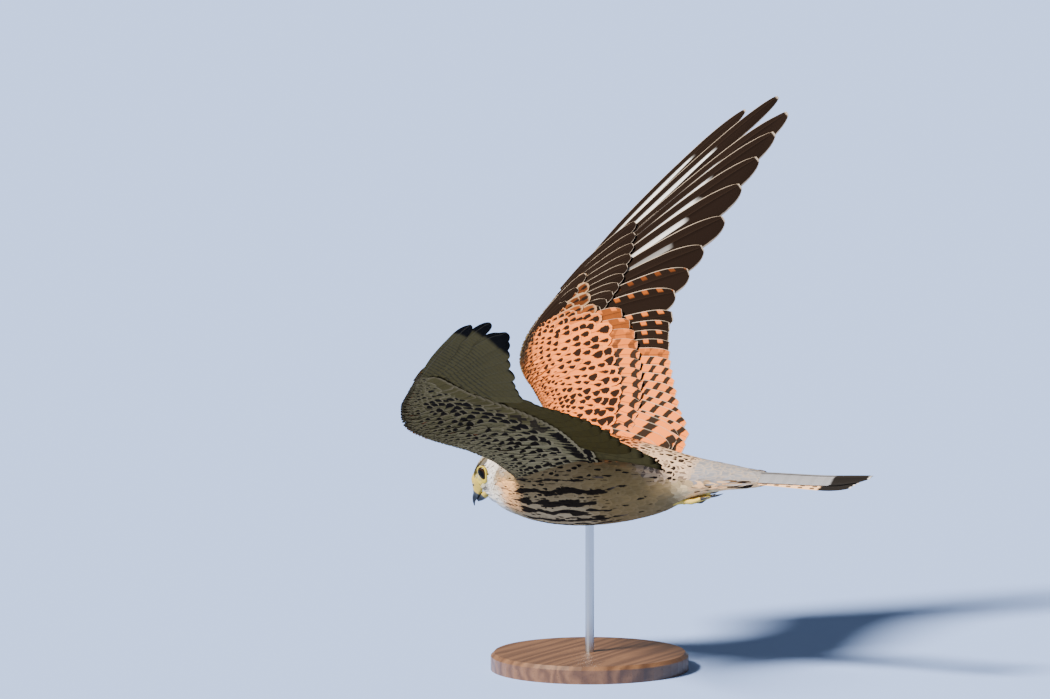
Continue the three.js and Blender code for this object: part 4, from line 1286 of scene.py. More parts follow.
    def under_coverts(self) -> Plumes:
        """Lays the long greater under-coverts and the axillaries, boldly barred near the body."""
        draw = self.draw
        out = np.concatenate([np.linspace(124, 12, 24), np.linspace(150, 128, 5)])
        rear = self.GREATER_LINE(np.minimum(out, 125)) - 6 - 0.5 * np.maximum(out - 125, 0)
        tip = np.stack([out, rear], axis=1)
        rows = self._lay(tip, np.full(len(out), 30), Face.UNDER, np.ones(len(out)))
        inner = smooth(-out, -84, -50)
        rows.marks[:, 0] = inner * draw.choice([0.3, 0.7], len(out))
        rows.marks[:, 1] = 0.3 * smooth(-out, -110, -70) * (1 - inner)
        # The underwing tones carry painted shade.
        pale = painted(Tone.UNDERWING, (Tone.UNDERWING_PALE, 0.8 * inner))
        rows.tint[:, :3] = pale * draw.uniform(0.9, 1.15, (len(out), 1))
        across, behind = np.linspace(24, -12, 10), [54, 46, 38, 30, 22]
        axil = np.stack([np.tile(across, len(behind)), np.repeat(behind, len(across))], axis=1)
        axil = axil + draw.normal(0, 1.6, axil.shape)
        armpit = self._lay(axil, draw.uniform(20, 25, len(axil)), Face.UNDER, np.ones(len(axil)))
        armpit.tint[:, :3] = np.array(Tone.UNDERWING_PALE) * draw.uniform(0.85, 1.15, (len(axil), 1))
        armpit.marks[:, 0] = draw.uniform(0.8, 1.1, len(axil))
        armpit.marks[:, 1] = 0
        return join_plumes([rows, armpit])

    def flesh(self) -> Surface:
        """Builds the fleshy part: teardrop sections from the shoulder to the hand, a little thinned."""
        out = np.linspace(-8, WingChart.FLESH_END - 1, 44)[:, None]
        t = ((np.arange(11) + 1) / 12) ** 1.4
        front, rear = self.chart.flesh_front(out) + 1, WingChart.FLESH_REAR(out)
        half = self.chart.teardrop(out, t) * 0.72
        top, bottom = (self.chart(out, lerp(front, rear, t), way * half) for way in (1, -1))
        edges = [self.chart(out, edge, 0) for edge in (front, rear)]
        return closed_grid(np.concatenate([edges[0], top, edges[1], bottom[:, ::-1]], axis=1))


@dataclass
class Tail:
    """The closed tail: twelve feathers folded over each other and the coverts over their roots."""

    seed: int = 29
    pairs: int = 6
    root: float = 126.0
    length: float = 248.0
    line: tuple[float, float] = (-1.6, -2.0)
    step: float = 0.4
    top: float = 1.2
    outer_short: float = 2.4
    spacing: tuple[float, float] = (0.6, 1.5)
    ridge: float = 3.0
    roof: float = 0.028

    # Where each row of coverts starts, and its length at the middle.
    COVERT_ROWS = ((118, 34), (126, 34), (134, 32))

    def _chart(self, side: Side) -> Chart:
        """Gives the place of points on the tail: across, back and lift on its own sloping, roofed line."""
        def place(across: Array, back: Array, lift: Array) -> Array:
            """Places points given as across, back and lift."""
            t = (back - self.root) / (self.length - self.root)
            ridge = self.ridge * (1 - smooth(t, 0.2, 0.8)) - self.roof * across ** 2
            return np.stack([side.value * across, back, lerp(*self.line, t) + lift + ridge], axis=-1)
        return place

    def feathers(self) -> Surface:
        """Builds the twelve tail feathers, the middle pair on top."""
        draw = np.random.default_rng(self.seed)
        pair = np.arange(self.pairs)
        made = []
        for number, side in enumerate(Side):
            lift = self.top - self.step * (pair + 0.4 * number)
            tint = varied(stacked(self.pairs, *Tone.TAIL, draw.uniform(0, 1, self.pairs)), draw, 0.05)
            quills = Quills(
                root=stacked(self.pairs, 0.6 + self.spacing[0] * pair, self.root),
                tip=np.stack([0.6 + self.spacing[1] * pair, self.length - self.outer_short * pair], axis=1),
                front=np.where(pair == 0, 8, 4.2), rear=np.where(pair == 0, 8, 11),
                lift=np.stack([lift, lift], axis=1), tint=tint,
                under=varied(stacked(self.pairs, *Tone.TAIL_UNDER, 1), draw, 0.04),
                marks=stacked(self.pairs, 0.61, 0.1, 0.5, pair / 5),
                extra=stacked(self.pairs, 0, 0, 0, draw.uniform(0, 1, self.pairs)),
                lean=-0.02, bow=0, rows=44,
            )
            cells = cell_rows(number * self.pairs, self.pairs, 20)
            made.append(quills.to_surface(self._chart(side), side is Side.RIGHT, cells))
        return merge(made)

    def coverts(self) -> Plumes:
        """Lays the coverts over and under the roots of the tail, longest at the middle."""
        draw = np.random.default_rng(self.seed + 1)
        made = []
        for face, tone, depths in ((Face.UPPER, Tone.TAIL, (6.5, 2.6)), (Face.UNDER, Tone.CREAM, (6, 4))):
            rows = []
            for start, reach in self.COVERT_ROWS:
                across = np.linspace(-1, 1, 7) + draw.normal(0, 0.05, 7)
                rows.append(stacked(7, across, start, reach - 8 * across ** 2))
            place, start, reach = np.concatenate(rows).T[..., None]
            t, count = Plumes.STATIONS, len(place)
            back = start + reach * t
            across = place * lerp(10.5, 8.2, smooth(back, 120, 190)) * lerp(1, 0.92, t)
            hump = np.sqrt(np.maximum(1 - (0.85 * place) ** 2, 0))
            depth = lerp(*depths, smooth(back, 128, 188))
            height = face.value * depth * hump * lerp(0.75, 1, t) - 1.7
            up = unit(np.stack([across * 0.09, 0 * back, 0 * back + face.value], axis=-1))
            tint = np.array(tone) * draw.uniform(0.94, 1.06, (count, 1))
            made.append(Plumes(
                shaft=np.stack([across, back, height], axis=-1), up=up, half=np.full(count, 4.6),
                tint=np.column_stack([tint, draw.uniform(0, 1, count)]),
                marks=stacked(count, 0, 0, 0.06, 0.2),
                place=np.column_stack([place * 0.4 + 0.5, (start - 100) / 140 + 0.4 * (face.value < 0)]),
            ))
        return join_plumes(made)


# Skin, bill, eyes and feet


def tube(path: Array, radius: Array, sides: int) -> Array:
    """Carries a round section along a path, with one of its directions kept level.

    Args:
        path: points along the middle.
        radius: radius at each.
        sides: points round each section.

    Returns:
        The grid of points, as rings by sides by three.
    """
    tangent = unit(np.gradient(path, axis=0))
    side = unit(np.cross(tangent, np.array([0, 0, 1]) + 1e-3))
    up = unit(np.cross(side, tangent))
    angle = np.linspace(0, 2 * np.pi, sides, endpoint=False)[None, :, None]
    radius = radius[:, None, None]
    return path[:, None] + (side[:, None] * np.cos(angle) * radius + up[:, None] * np.sin(angle) * radius)


def along(points: Sequence[Sequence[float]], count: int) -> Array:
    """Gives points evenly spread along a smooth line through the given ones."""
    return filled(points, count, walked(np.asarray(points, float)))


def ball(rings: int, sides: int) -> Array:
    """Gives a ball of radius 1 as rings about its first axis, with a pinhole at each pole."""
    fall = np.linspace(0.05, np.pi - 0.05, rings)[:, None]
    turn = np.linspace(0, 2 * np.pi, sides, endpoint=False)
    out = np.sin(fall)
    return np.stack([np.cos(fall) + 0 * turn, out * np.cos(turn), out * np.sin(turn)], axis=-1)


@dataclass
class Skin:
    """One closed skin under the feathers of the body, head and wings, in their colours."""

    trunk: Trunk
    body_inset: float = 2.4
    head_inset: float = 1.3
    voxel: float = 1.3
    seed: int = 3

    def build(self, wings: Sequence[Wing], coat: BodyCoat) -> bpy.types.Object:
        """Joins the closed forms by a voxel remesh, smooths the whole and colours it by place.

        Args:
            wings: the wings, for their flesh.
            coat: the body's feathers, for their colours.

        Returns:
            The skin's object.
        """
        trunk, turn = self.trunk, np.linspace(0, 2 * np.pi, 64, endpoint=False)[None]
        body = trunk.ring(trunk.body, np.linspace(44, -168, 90)[:, None], turn, -self.body_inset)
        head = trunk.ring(trunk.head, np.linspace(20.5, -19.5, 40)[:, None], turn, -self.head_inset)
        parts = [closed_grid(body), closed_grid(trunk.from_head(head)), *(wing.flesh() for wing in wings)]
        made = merge(parts).to_object("skin")
        join = made.modifiers.new("join", "REMESH")
        join.mode = "VOXEL"
        join.voxel_size = self.voxel * METRES
        calm = made.modifiers.new("calm", "SMOOTH")
        calm.factor, calm.iterations = 0.5, 6
        mesh = bpy.data.meshes.new_from_object(made.evaluated_get(bpy.context.evaluated_depsgraph_get()))
        made.modifiers.clear()
        made.data = mesh
        flat = np.empty(len(mesh.vertices) * 3, np.float32)
        mesh.vertices.foreach_get("co", flat)
        points = (flat.reshape(-1, 3) / METRES - POSE.place) @ POSE.matrix
        near = 1 - smooth(trunk.distance(points), -1.5, 0.5)
        from_body, from_head = trunk.distances(points)
        on_head = smooth(from_body - from_head, -1, 3)
        inset = lerp(self.body_inset, self.head_inset, on_head)
        points = lerp(points, trunk.settle(points, -inset), near[:, None])
        put(mesh.vertices, "co", POSE.to_part(points))
        draw = np.random.default_rng(self.seed)
        tint, _ = coat.body_colours(points, trunk.normal(points), draw)
        head_tint, _ = coat.head_colours(points, draw)
        on_wing = smooth(np.abs(points[:, 0]), 30, 40) * (from_body > 4)
        tint = painted(lerp(tint, head_tint, on_head[:, None]), (Tone.CHESTNUT, on_wing))
        rows = np.column_stack([tint, np.ones(len(tint))])
        put(mesh.attributes.new("Tint", "FLOAT_COLOR", "POINT").data, "color", rows)
        put(mesh.polygons, "use_smooth", np.ones(len(mesh.polygons)), bool)
        return made


@dataclass
class Bill:
    """The hooked bill with its cere, as ovals between a ridge line and a cutting edge."""

    trunk: Trunk
    nostril: tuple[float, float, float] = (4.75, 20.8, 0.6)
    nostril_radius: float = 0.85

    UPPER = (
        (15, 7.4, 14.5, -5.6, 7.4), (19.4, 5.5, 18, -6.5, 6.2), (21.6, 2.5, 20.8, -6.9, 5),
        (23.6, -0.8, 23.4, -7.2, 3.9), (25.6, -3, 25.6, -8.2, 3), (27.8, -4.6, 27, -7.9, 2.1),
        (29.7, -7, 28.9, -8.5, 1.2), (31, -9.9, 30.4, -10.1, 0.35),
    )
    LOWER = (
        (14, -6, 14, -12.2, 5.6), (19.5, -6.2, 20, -11.9, 4.5), (23.2, -6.4, 23.8, -11.2, 2.9),
        (26.6, -7.2, 26.8, -9.8, 1.3),
    )

    def _loft(self, stations: Sequence[Sequence[float]], rings: int, sides: int, square: float) -> Surface:
        """Lofts rounded ovals whose top follows the ridge and whose bottom follows the edge.

        Args:
            stations: ridge forward and up, edge forward and up, and half width.
            rings: sections along the bill.
            sides: points round each section.
            square: power of the section's lower half, 2 for an oval and more for a boxier one.

        Returns:
            The closed surface in the bird's frame.
        """
        row = filled(stations, rings)
        top, bottom = (stacked(rings, 0, -row[:, i], row[:, i + 1]) for i in (0, 2))
        middle, rise = (top + bottom) / 2, (top - bottom) / 2
        angle = np.linspace(0, 2 * np.pi, sides, endpoint=False)
        across, up = np.where(np.sin(angle) < 0, superellipse(angle, square), superellipse(angle, 2.15))
        grid = middle[:, None] + rise[:, None] * up[None, :, None]
        grid[..., 0] += row[:, 4:5] * across
        surface = closed_grid(self.trunk.from_head(grid))
        ahead = np.repeat(np.linspace(0, 1, rings), sides)
        surface.values = {"Tint": stacked(rings * sides, ahead, np.tile((up + 1) / 2, rings), 0, 1)}
        return surface

    def build(self) -> tuple[Surface, Surface, Surface]:
        """Builds the upper half, the lower half and the two nostril pits."""
        out, forward, up = self.nostril
        pit = ball(12, 20) * self.nostril_radius * [0.5, 1.05, 1]
        pits = [closed_grid(self.trunk.from_head(pit + [side.value * out, -forward, up])) for side in Side]
        return self._loft(self.UPPER, 60, 48, 4.5), self._loft(self.LOWER, 30, 36, 2.2), merge(pits)


@dataclass
class Eye:
    """One eye: a dark glossy ball in a bare yellow ring, drawn to a point at the front."""

    trunk: Trunk
    side: Side
    out: float = 10.2
    forward: float = 8.1
    up: float = 1.8
    radius: float = 4.9
    turn_forward: float = 38.0
    turn_up: float = 4.0
    ring_radius: float = 4.2
    ring_out: float = 2.4
    point_at: float = -56.0
    point_length: float = 1.1
    stretch: float = 0.24
    narrow: float = 0.2

    @property
    def axis(self) -> Array:
        """The way the eye looks, in the head's frame."""
        forward = math.sin(math.radians(self.turn_forward))
        up = math.sin(math.radians(self.turn_up))
        return np.array([self.side.value * math.sqrt(1 - forward ** 2 - up ** 2), -forward, up])

    @property
    def centre(self) -> Array:
        """The middle of the ball in the head's frame."""
        return np.array([self.side.value * self.out, -self.forward, self.up])

    def _basis(self) -> tuple[Array, Array, Array]:
        """Gives the eye's own forward, up and out directions."""
        out = self.axis
        up = unit(np.array([0, 0, 1]) - out * out[2])
        forward = unit(np.array([0, -1, 0]) - out * -out[1])
        return forward, up, out

    def _point(self, turn: Array) -> Array:
        """Gives how near each direction round the eye is to the point at its front: 0 to 1."""
        return np.maximum(np.cos(turn - math.radians(self.point_at)), 0) ** 4

    def ball(self) -> Surface:
        """Builds the ball: circles about the eye's axis, none much wider than the ring round it."""
        forward, up, out = self._basis()
        rings, sides = 40, 48
        fall = np.linspace(0.02, np.pi - 0.02, rings)[:, None, None]
        turn = np.linspace(0, 2 * np.pi, sides, endpoint=False)[None, :, None]
        flat = self.radius * np.cos(fall)
        reach = np.minimum(self.radius * np.sin(fall), self.ring_radius + 0.1)
        reach = reach * (1 + self.stretch * self._point(turn))
        grid = self.centre + out * flat + (forward * np.cos(turn) + up * np.sin(turn)) * reach
        surface = closed_grid(self.trunk.from_head(grid))
        share = np.repeat(np.linspace(0, 1, rings), sides)
        surface.values = {"Tint": stacked(len(share), share, share, share, 1)}
        return surface

    def ring(self) -> Surface:
        """Builds the bare ring: a puckered tube round the ball, wider towards the bill."""
        forward, up, out = self._basis()
        turn = np.linspace(0, 2 * np.pi, 72, endpoint=False)[:, None, None]
        section = np.linspace(0, 2 * np.pi, 18, endpoint=False)[None, :, None]
        away = forward * np.cos(turn) + up * np.sin(turn)
        point = self._point(turn)
        lean = turn - math.radians(self.point_at)
        slim = self.narrow * np.sin(lean) ** 2
        radius = self.ring_radius * (1 + self.stretch * point - slim) + self.point_length * point ** 2
        wide = 0.42 + self.ring_radius * slim * 0.9 + self.point_length * point ** 2
        wide = wide + 0.03 * np.sin(26 * turn)
        middle = self.centre + out * self.ring_out + away * radius
        depth = self.trunk.distance(self.trunk.from_head(middle[:, 0]))[:, None, None]
        raised = np.clip(0.15 - depth, 0, 2)
        tall = 0.4 + np.where(np.sin(section) < 0, raised + 1.6, 0)
        grid = middle + away * np.cos(section) * wide + out * (np.sin(section) * tall + raised)
        grid = self.trunk.from_head(grid)
        quads = grid_faces(*grid.shape[:2], ringed=True)
        if self.side is Side.LEFT:
            quads = quads[:, ::-1]
        return Surface(points=grid.reshape(-1, 3), loops=quads.ravel(), starts=np.arange(len(quads)) * 4)


@dataclass
class Foot:
    """One foot, tucked up under the tail: a shank, a pad, four scaled toes and their claws."""

    side: Side
    thigh: tuple[float, float, float] = (8.6, 82.0, -17.5)
    pad: tuple[float, float, float] = (8.0, 106.0, -14.6)
    shank_radius: float = 1.9
    pad_radius: float = 2.4
    groove: float = 0.07

    TOES = (
        ((4.4, 114, -14.2), (4, 121.5, -12.4), (4.2, 129, -10.8)),
        ((8.2, 117.5, -13.4), (8.2, 128, -11), (8.2, 137, -9.4)),
        ((11.8, 114, -13.8), (12.4, 122, -11.4), (12.6, 129.5, -9.8)),
        ((5, 109, -16), (2.6, 113, -16.8), (1.6, 118.5, -16.6)),
    )

    def _at(self, points: Sequence[Sequence[float]]) -> Array:
        """Mirrors places to this foot's side."""
        return np.array(points, float) * np.array([self.side.value, 1, 1])

    def _scaled(self, path: Array, radius: Array, pitch: float) -> Surface:
        """Carries a section along a toe, drawn in by a groove between one scale and the next."""
        wave = 1 - np.abs(np.sin(np.pi * walked(path) / pitch)) ** 0.5
        return closed_grid(tube(path, radius * (1 - self.groove * wave), 24))

    def skin(self) -> Surface:
        """Builds the shank, the pad and the four toes."""
        middle = lerp(np.array(self.thigh), np.array(self.pad), 0.5)
        shank = along(self._at([self.thigh, middle, self.pad]), 60)
        pad = ball(20, 28)[..., [1, 0, 2]] * self.pad_radius + self._at([self.pad])[0]
        parts = [self._scaled(shank, np.full(60, self.shank_radius), 1.5), closed_grid(pad)]
        share = np.linspace(0, 1, 70)
        swell = 0.18 * np.exp(-((share - 0.5) / 0.09) ** 2) + 0.12 * np.exp(-((share - 0.86) / 0.07) ** 2)
        radius = np.interp(share, [0, 0.5, 0.93, 1], [1.9, 1.7, 1.25, 0.5]) + swell
        for knuckle, tip, _ in self.TOES:
            parts.append(self._scaled(along(self._at([self.pad, knuckle, tip]), 70), radius, 1.15))
        return merge(parts)

    def claws(self) -> Surface:
        """Builds the four claws, tapering and hooked."""
        parts = []
        for knuckle, tip, end in self.TOES:
            knuckle, tip, end = self._at([knuckle, tip, end])
            way = unit(tip - knuckle)
            root = tip - way * 0.4
            bend = root + way * np.linalg.norm(end - root) * 0.55 + np.array([0, 0, -0.6])
            path = along([root, bend, end], 24)
            radius = np.interp(np.linspace(0, 1, 24), [0, 0.3, 1], [1.12, 0.95, 0.14])
            parts.append(closed_grid(tube(path, radius, 18)))
        return merge(parts)


# Finishes


def sum_of(operation: str, swapped: bool = False) -> Callable[[Wire, Wire | float], Wire]:
    """Gives the method of a wire that writes one sum, with the other number first if swapped."""
    def write(self: Wire, other: Wire | float) -> Wire:
        """Writes the sum of this number and another."""
        return self.graph.maths(operation, *((other, self) if swapped else (self, other)))
    return write


class Wire:
    """A number that flows through a material, on which sums can be written."""

    __add__, __radd__ = sum_of("ADD"), sum_of("ADD", True)
    __sub__, __rsub__ = sum_of("SUBTRACT"), sum_of("SUBTRACT", True)
    __mul__, __rmul__ = sum_of("MULTIPLY"), sum_of("MULTIPLY", True)
    __gt__, __lt__ = sum_of("GREATER_THAN"), sum_of("LESS_THAN")
    most = sum_of("MAXIMUM")

    def __init__(self, graph: Graph, socket: Socket) -> None:
        """Takes the socket that the number comes from."""
        self.graph, self.socket = graph, socket

    def __abs__(self) -> Wire:
        """Drops the sign."""
        return self.graph.maths("ABSOLUTE", self)

    def cos(self) -> Wire:
        """Gives the cosine."""
        return self.graph.maths("COSINE", self)

    def smooth(self, low: Wire | float, high: Wire | float) -> Wire:
        """Rises smoothly from 0 at low to 1 at high."""
        return Wire(self.graph, self.graph.node(
            "ShaderNodeMapRange", {"interpolation_type": "SMOOTHSTEP"},
            {"Value": self, "From Min": low, "From Max": high},
        ).outputs[0])


class Graph:
    """The nodes of one material, made by a type, its settings and what its sockets get."""

    def __init__(self, name: str) -> None:
        """Starts a material with its output node alone."""
        self.material = bpy.data.materials.new(name)
        self.material.use_nodes = True
        self.tree = self.material.node_tree
        self.tree.nodes.clear()

    def node(self, kind: str, settings: Mapping[str, Any] | None = None,
             inputs: Mapping[str | int, Any] | None = None) -> bpy.types.Node:
        """Adds a node.

        Args:
            kind: the node's type.
            settings: its properties, set before its sockets.
            inputs: a value or a link for each named or numbered socket.

        Returns:
            The node.
        """
        made = self.tree.nodes.new(kind)
        for key, value in (settings or {}).items():
            setattr(made, key, value)
        for key, value in (inputs or {}).items():
            socket = made.inputs[key]
            if isinstance(value, Wire):
                self.tree.links.new(value.socket, socket)
            elif isinstance(value, Socket):
                self.tree.links.new(value, socket)
            elif isinstance(value, (int, float, str)):
                socket.default_value = value
            else:
                socket.default_value = (*value, 1) if socket.type == "RGBA" else value
        return made

    def maths(self, operation: str, *values: Wire | float) -> Wire:
        """Works out one sum of numbers."""
        made = self.node("ShaderNodeMath", {"operation": operation}, dict(enumerate(values)))
        return Wire(self, made.outputs[0])

    def mix(self, share: Wire | float, first: Any, second: Any, how: str = "MIX") -> Socket:
        """Mixes two colours by a share."""
        made = self.node("ShaderNodeMix", {"data_type": "RGBA", "blend_type": how, "clamp_factor": True},
                         {0: share, 6: first, 7: second})
        return made.outputs[2]

    def rows(self, name: str) -> tuple[Socket, Wire, Wire, Wire, Wire]:
        """Reads an attribute of four numbers: as a colour and one by one."""
        made = self.node("ShaderNodeAttribute", {"attribute_name": name, "attribute_type": "GEOMETRY"})
        colour = made.outputs["Color"]
        parts = self.node("ShaderNodeSeparateColor", None, {0: colour})
        return colour, *(Wire(self, out) for out in parts.outputs), Wire(self, made.outputs["Alpha"])

    def vane(self) -> tuple[Wire, Wire, Wire]:
        """Reads the place on a feather: across from -1 to 1, along from 0 to 1, and if it is beneath."""
        made = self.node("ShaderNodeUVMap", {"uv_map": VANE_MAP})
        parts = self.node("ShaderNodeSeparateXYZ", None, {0: made.outputs[0]})
        u, v = Wire(self, parts.outputs[0]), Wire(self, parts.outputs[1])
        beneath = u > 1.5
        return (u - beneath * 2) * 2 - 1, v, beneath

    def noise(self, vector: Socket, scale: float, detail: float = 3) -> Wire:
        """Gives soft noise from 0 to 1 at a vector."""
        made = self.node("ShaderNodeTexNoise", {"noise_dimensions": "3D"},
                         {"Vector": vector, "Scale": scale, "Detail": detail})
        return Wire(self, made.outputs[0])

    def place(self) -> Socket:
        """Gives the place in the part, in metres."""
        return self.node("ShaderNodeTexCoord").outputs["Object"]

    def vector(self, x: Wire | float, y: Wire | float, z: Wire | float) -> Socket:
        """Puts three numbers into a vector."""
        return self.node("ShaderNodeCombineXYZ", None, {0: x, 1: y, 2: z}).outputs[0]

    def stretched(self, scale: Sequence[float], shift: Sequence[float] = (0, 0, 0)) -> Socket:
        """Gives the place in the part, stretched along each axis and shifted."""
        settings = {"Vector": self.place(), "Scale": scale, "Location": shift}
        return self.node("ShaderNodeMapping", None, settings).outputs[0]

    def finish(self, colour: Any, roughness: Wire | float, shine: float, height: Wire | None = None,
               bump: float = 0.0, depth: float = 0.0, **more: float) -> Material:
        """Ends the graph in the main shader.

        Args:
            colour: the surface's colour.
            roughness: how dull it is.
            shine: the strength of its plain reflection.
            height: the fine relief, if there is any.
            bump: how strongly the relief shows.
            depth: its depth in metres.
            more: other inputs of the shader, with underscores for spaces.

        Returns:
            The material.
        """
        inputs = {"Base Color": colour, "Roughness": roughness, "Specular IOR Level": shine}
        inputs.update({name.replace("_", " "): value for name, value in more.items()})
        if height is not None:
            inputs["Normal"] = self.node("ShaderNodeBump", None, {
                "Strength": bump, "Distance": depth, "Height": height,
            }).outputs[0]
        shader = self.node("ShaderNodeBsdfPrincipled", None, inputs)
        self.node("ShaderNodeOutputMaterial", None, {"Surface": shader.outputs[0]})
        return self.material


def soft_edge(value: Wire, edge: Wire | float, blur: float) -> Wire:
    """Gives 1 where a value is less than an edge and 0 beyond it, with a blurred change."""
    return 1 - (value - edge).smooth(-blur, blur)


@dataclass(frozen=True)
class ContourFinish:
    """Small feathers: a streak, a spot or bars in a dusky brown, and a paler fringe."""

    name: str
    dark: Colour = (0.012, 0.008, 0.006)
    bar_colour: Colour = (0.105, 0.070, 0.048)
    pale: Colour = (0.70, 0.48, 0.28)
    roughness: float = 0.72
    barbs: float = 0.5
    chevron: float = 1.3

    def build(self) -> Material:
        """Makes the material."""
        g = Graph(self.name)
        tint, _, _, _, chance = g.rows("Tint")
        _, spot, bars, streak, fringe = g.rows("Marks")
        side, way, _ = g.vane()
        across = abs(side)
        patch = g.vector(side * 2.2 + chance * 40, way * 3, chance * 17)
        rough = g.noise(patch, 2) - 0.5
        jag = g.noise(g.vector(side * 4, way * 8, chance * 31), 2) - 0.5
        wander = across + rough * 0.25 + jag * 0.35

        width = streak * (0.12 + 0.88 * way.smooth(0.34, 0.70)) * (1 - 0.75 * way.smooth(0.80, 0.95))
        shaft_streak = soft_edge(wander, width, 0.07) * (1 - way.smooth(0.88, 0.97)) * (streak > 0.03)
        wedge = spot * (0.7 + chance * 0.6) * way.smooth(0.50, 0.84) * (1 - way.smooth(0.88, 0.94))
        drop = soft_edge(wander, wedge, 0.08) * (spot > 0.05)
        _, around, ahead, strong, _ = g.rows("Grain")
        drift = g.noise(g.vector(around * 0.5, ahead * 0.6, 0), 1, 2) - 0.5
        lines = ((around * 0.44 + drift * 1.5) * (2 * math.pi)).cos()
        gaps = g.noise(g.vector(around, ahead, 3), 1, 2) - 0.5
        run = (lines * 0.55 + gaps * 2.6 + jag * 0.3 + strong - 1).smooth(0, 0.15) * (strong > 0.03)
        turns = (way - 1) * (bars * 2 * math.pi * 10)
        wave = (turns + across * self.chevron + chance * 2.4 + 2).cos() + rough
        bar = wave.smooth(-0.15, 0.15) * (bars > 0.02) * (1 - way.smooth(0.93, 0.98))
        bar = bar * (1 - soft_edge(across, 0.10, 0.05) * 0.8)
        marks = shaft_streak.most(drop)

        edge = across.smooth(0.62, 1).most(way.smooth(0.84, 1)) * fringe
        base = g.mix(edge * 0.5, tint, self.pale)
        base = g.mix((1 - way.smooth(0.1, 0.6)) * 0.12, base, g.mix(0.5, tint, (0.2, 0.18, 0.16)))
        base = g.mix(g.noise(g.place(), 90) * 0.3, base, (0.5, 0.42, 0.34), "SOFT_LIGHT")
        base = g.mix(soft_edge(across, 0.05, 0.02) * 0.25, base, self.dark)
        base = g.mix(bar * 0.85, base, self.bar_colour)
        base = g.mix(marks * 0.99, base, self.dark)
        base = g.mix(run * 0.97, base, g.mix(strong.smooth(0.35, 0.6), self.bar_colour, self.dark))
        barb = (way * 190 - across * 52 + rough * 9).cos()
        height = barb * 0.5 + soft_edge(across, 0.06, 0.05) * 1.5 + rough
        return g.finish(base, self.roughness, 0.005, height, self.barbs, 0.00012)


@dataclass(frozen=True)
class FlightFinish:
    """Long wing feathers: brown or chestnut and barred above, pale and finely barred beneath."""

    name: str
    dark: Colour = (0.026, 0.016, 0.011)
    fringe: Colour = (0.64, 0.52, 0.40)
    chestnut: Colour = Tone.CHESTNUT
    white: Colour = (0.80, 0.78, 0.72)
    under_bar: Colour = (0.036, 0.027, 0.014)
    roughness: float = 0.6

    def build(self) -> Material:
        """Makes the material."""
        g = Graph(self.name)
        tint, _, _, _, chance = g.rows("Tint")
        under, _, _, _, aligned = g.rows("Under")
        _, count, upper_bars, under_bars, white = g.rows("Marks")
        _, fringe, tip_start, notch, _ = g.rows("Extra")
        side, way, beneath = g.vane()
        across = abs(side)
        patch = g.vector(side * 1.6 + chance * 40, way * 9, chance * 17)
        rough = g.noise(patch, 2) - 0.5
        phase = way * count * (2 * math.pi * 20)

        upper_wave = (phase - across * 1.3 + chance * 0.8).cos() + rough * 0.8
        upper = g.mix(upper_wave.smooth(0.28, 0.55) * upper_bars, tint, self.dark)
        notches = (phase + across * 1.1).cos().smooth(0.2, 0.6) * side.smooth(0.25, 0.55) * notch
        upper = g.mix(notches * 0.85, upper, self.chestnut)
        sliver = soft_edge(abs(side + 0.15), 0.11, 0.03) * way.smooth(0.22, 0.28)
        sliver = sliver * (1 - (way + rough * 0.05).smooth(0.68, 0.73)) * white
        upper = g.mix(sliver, upper, self.white)
        rim = (across + rough * 0.06).smooth(0.90, 0.98).most((way + rough * 0.006).smooth(0.990, 0.998))
        upper = g.mix(rim * fringe * 0.8, upper, self.fringe)

        low = (way - aligned) * count * (2 * math.pi * 26)
        ragged = g.noise(g.vector(side * 2.5, way * 40, chance * 11), 2) - 0.5
        low_wave = (low - across * 0.7 + 0.6).cos() + ragged * 3
        barred = low_wave.smooth(0.3, 0.9) * under_bars * (1 - way.smooth(0.5, 0.72) * 0.75)
        below = g.mix(barred * 0.75, under, self.under_bar)
        tip = way.smooth(tip_start - 0.03, tip_start + 0.03)
        below = g.mix(tip, below, Tone.DUSK)

        base = g.mix(beneath, upper, below)
        base = g.mix(g.noise(g.place(), 60) * 0.3, base, (0.5, 0.46, 0.4), "SOFT_LIGHT")
        shaft = soft_edge(across, 0.055, 0.02)
        base = g.mix(shaft * 0.55, base, g.mix(beneath, self.dark, (0.12, 0.09, 0.05)))
        barb = (way * 900 - across * 170 + rough * 16).cos()
        height = barb * 0.5 + shaft * 0.5 + g.noise(g.vector(side * 3, way * 60, chance * 9), 2) * 1.2
        return g.finish(base, self.roughness, 0.005, height, 0.45, 0.00012)


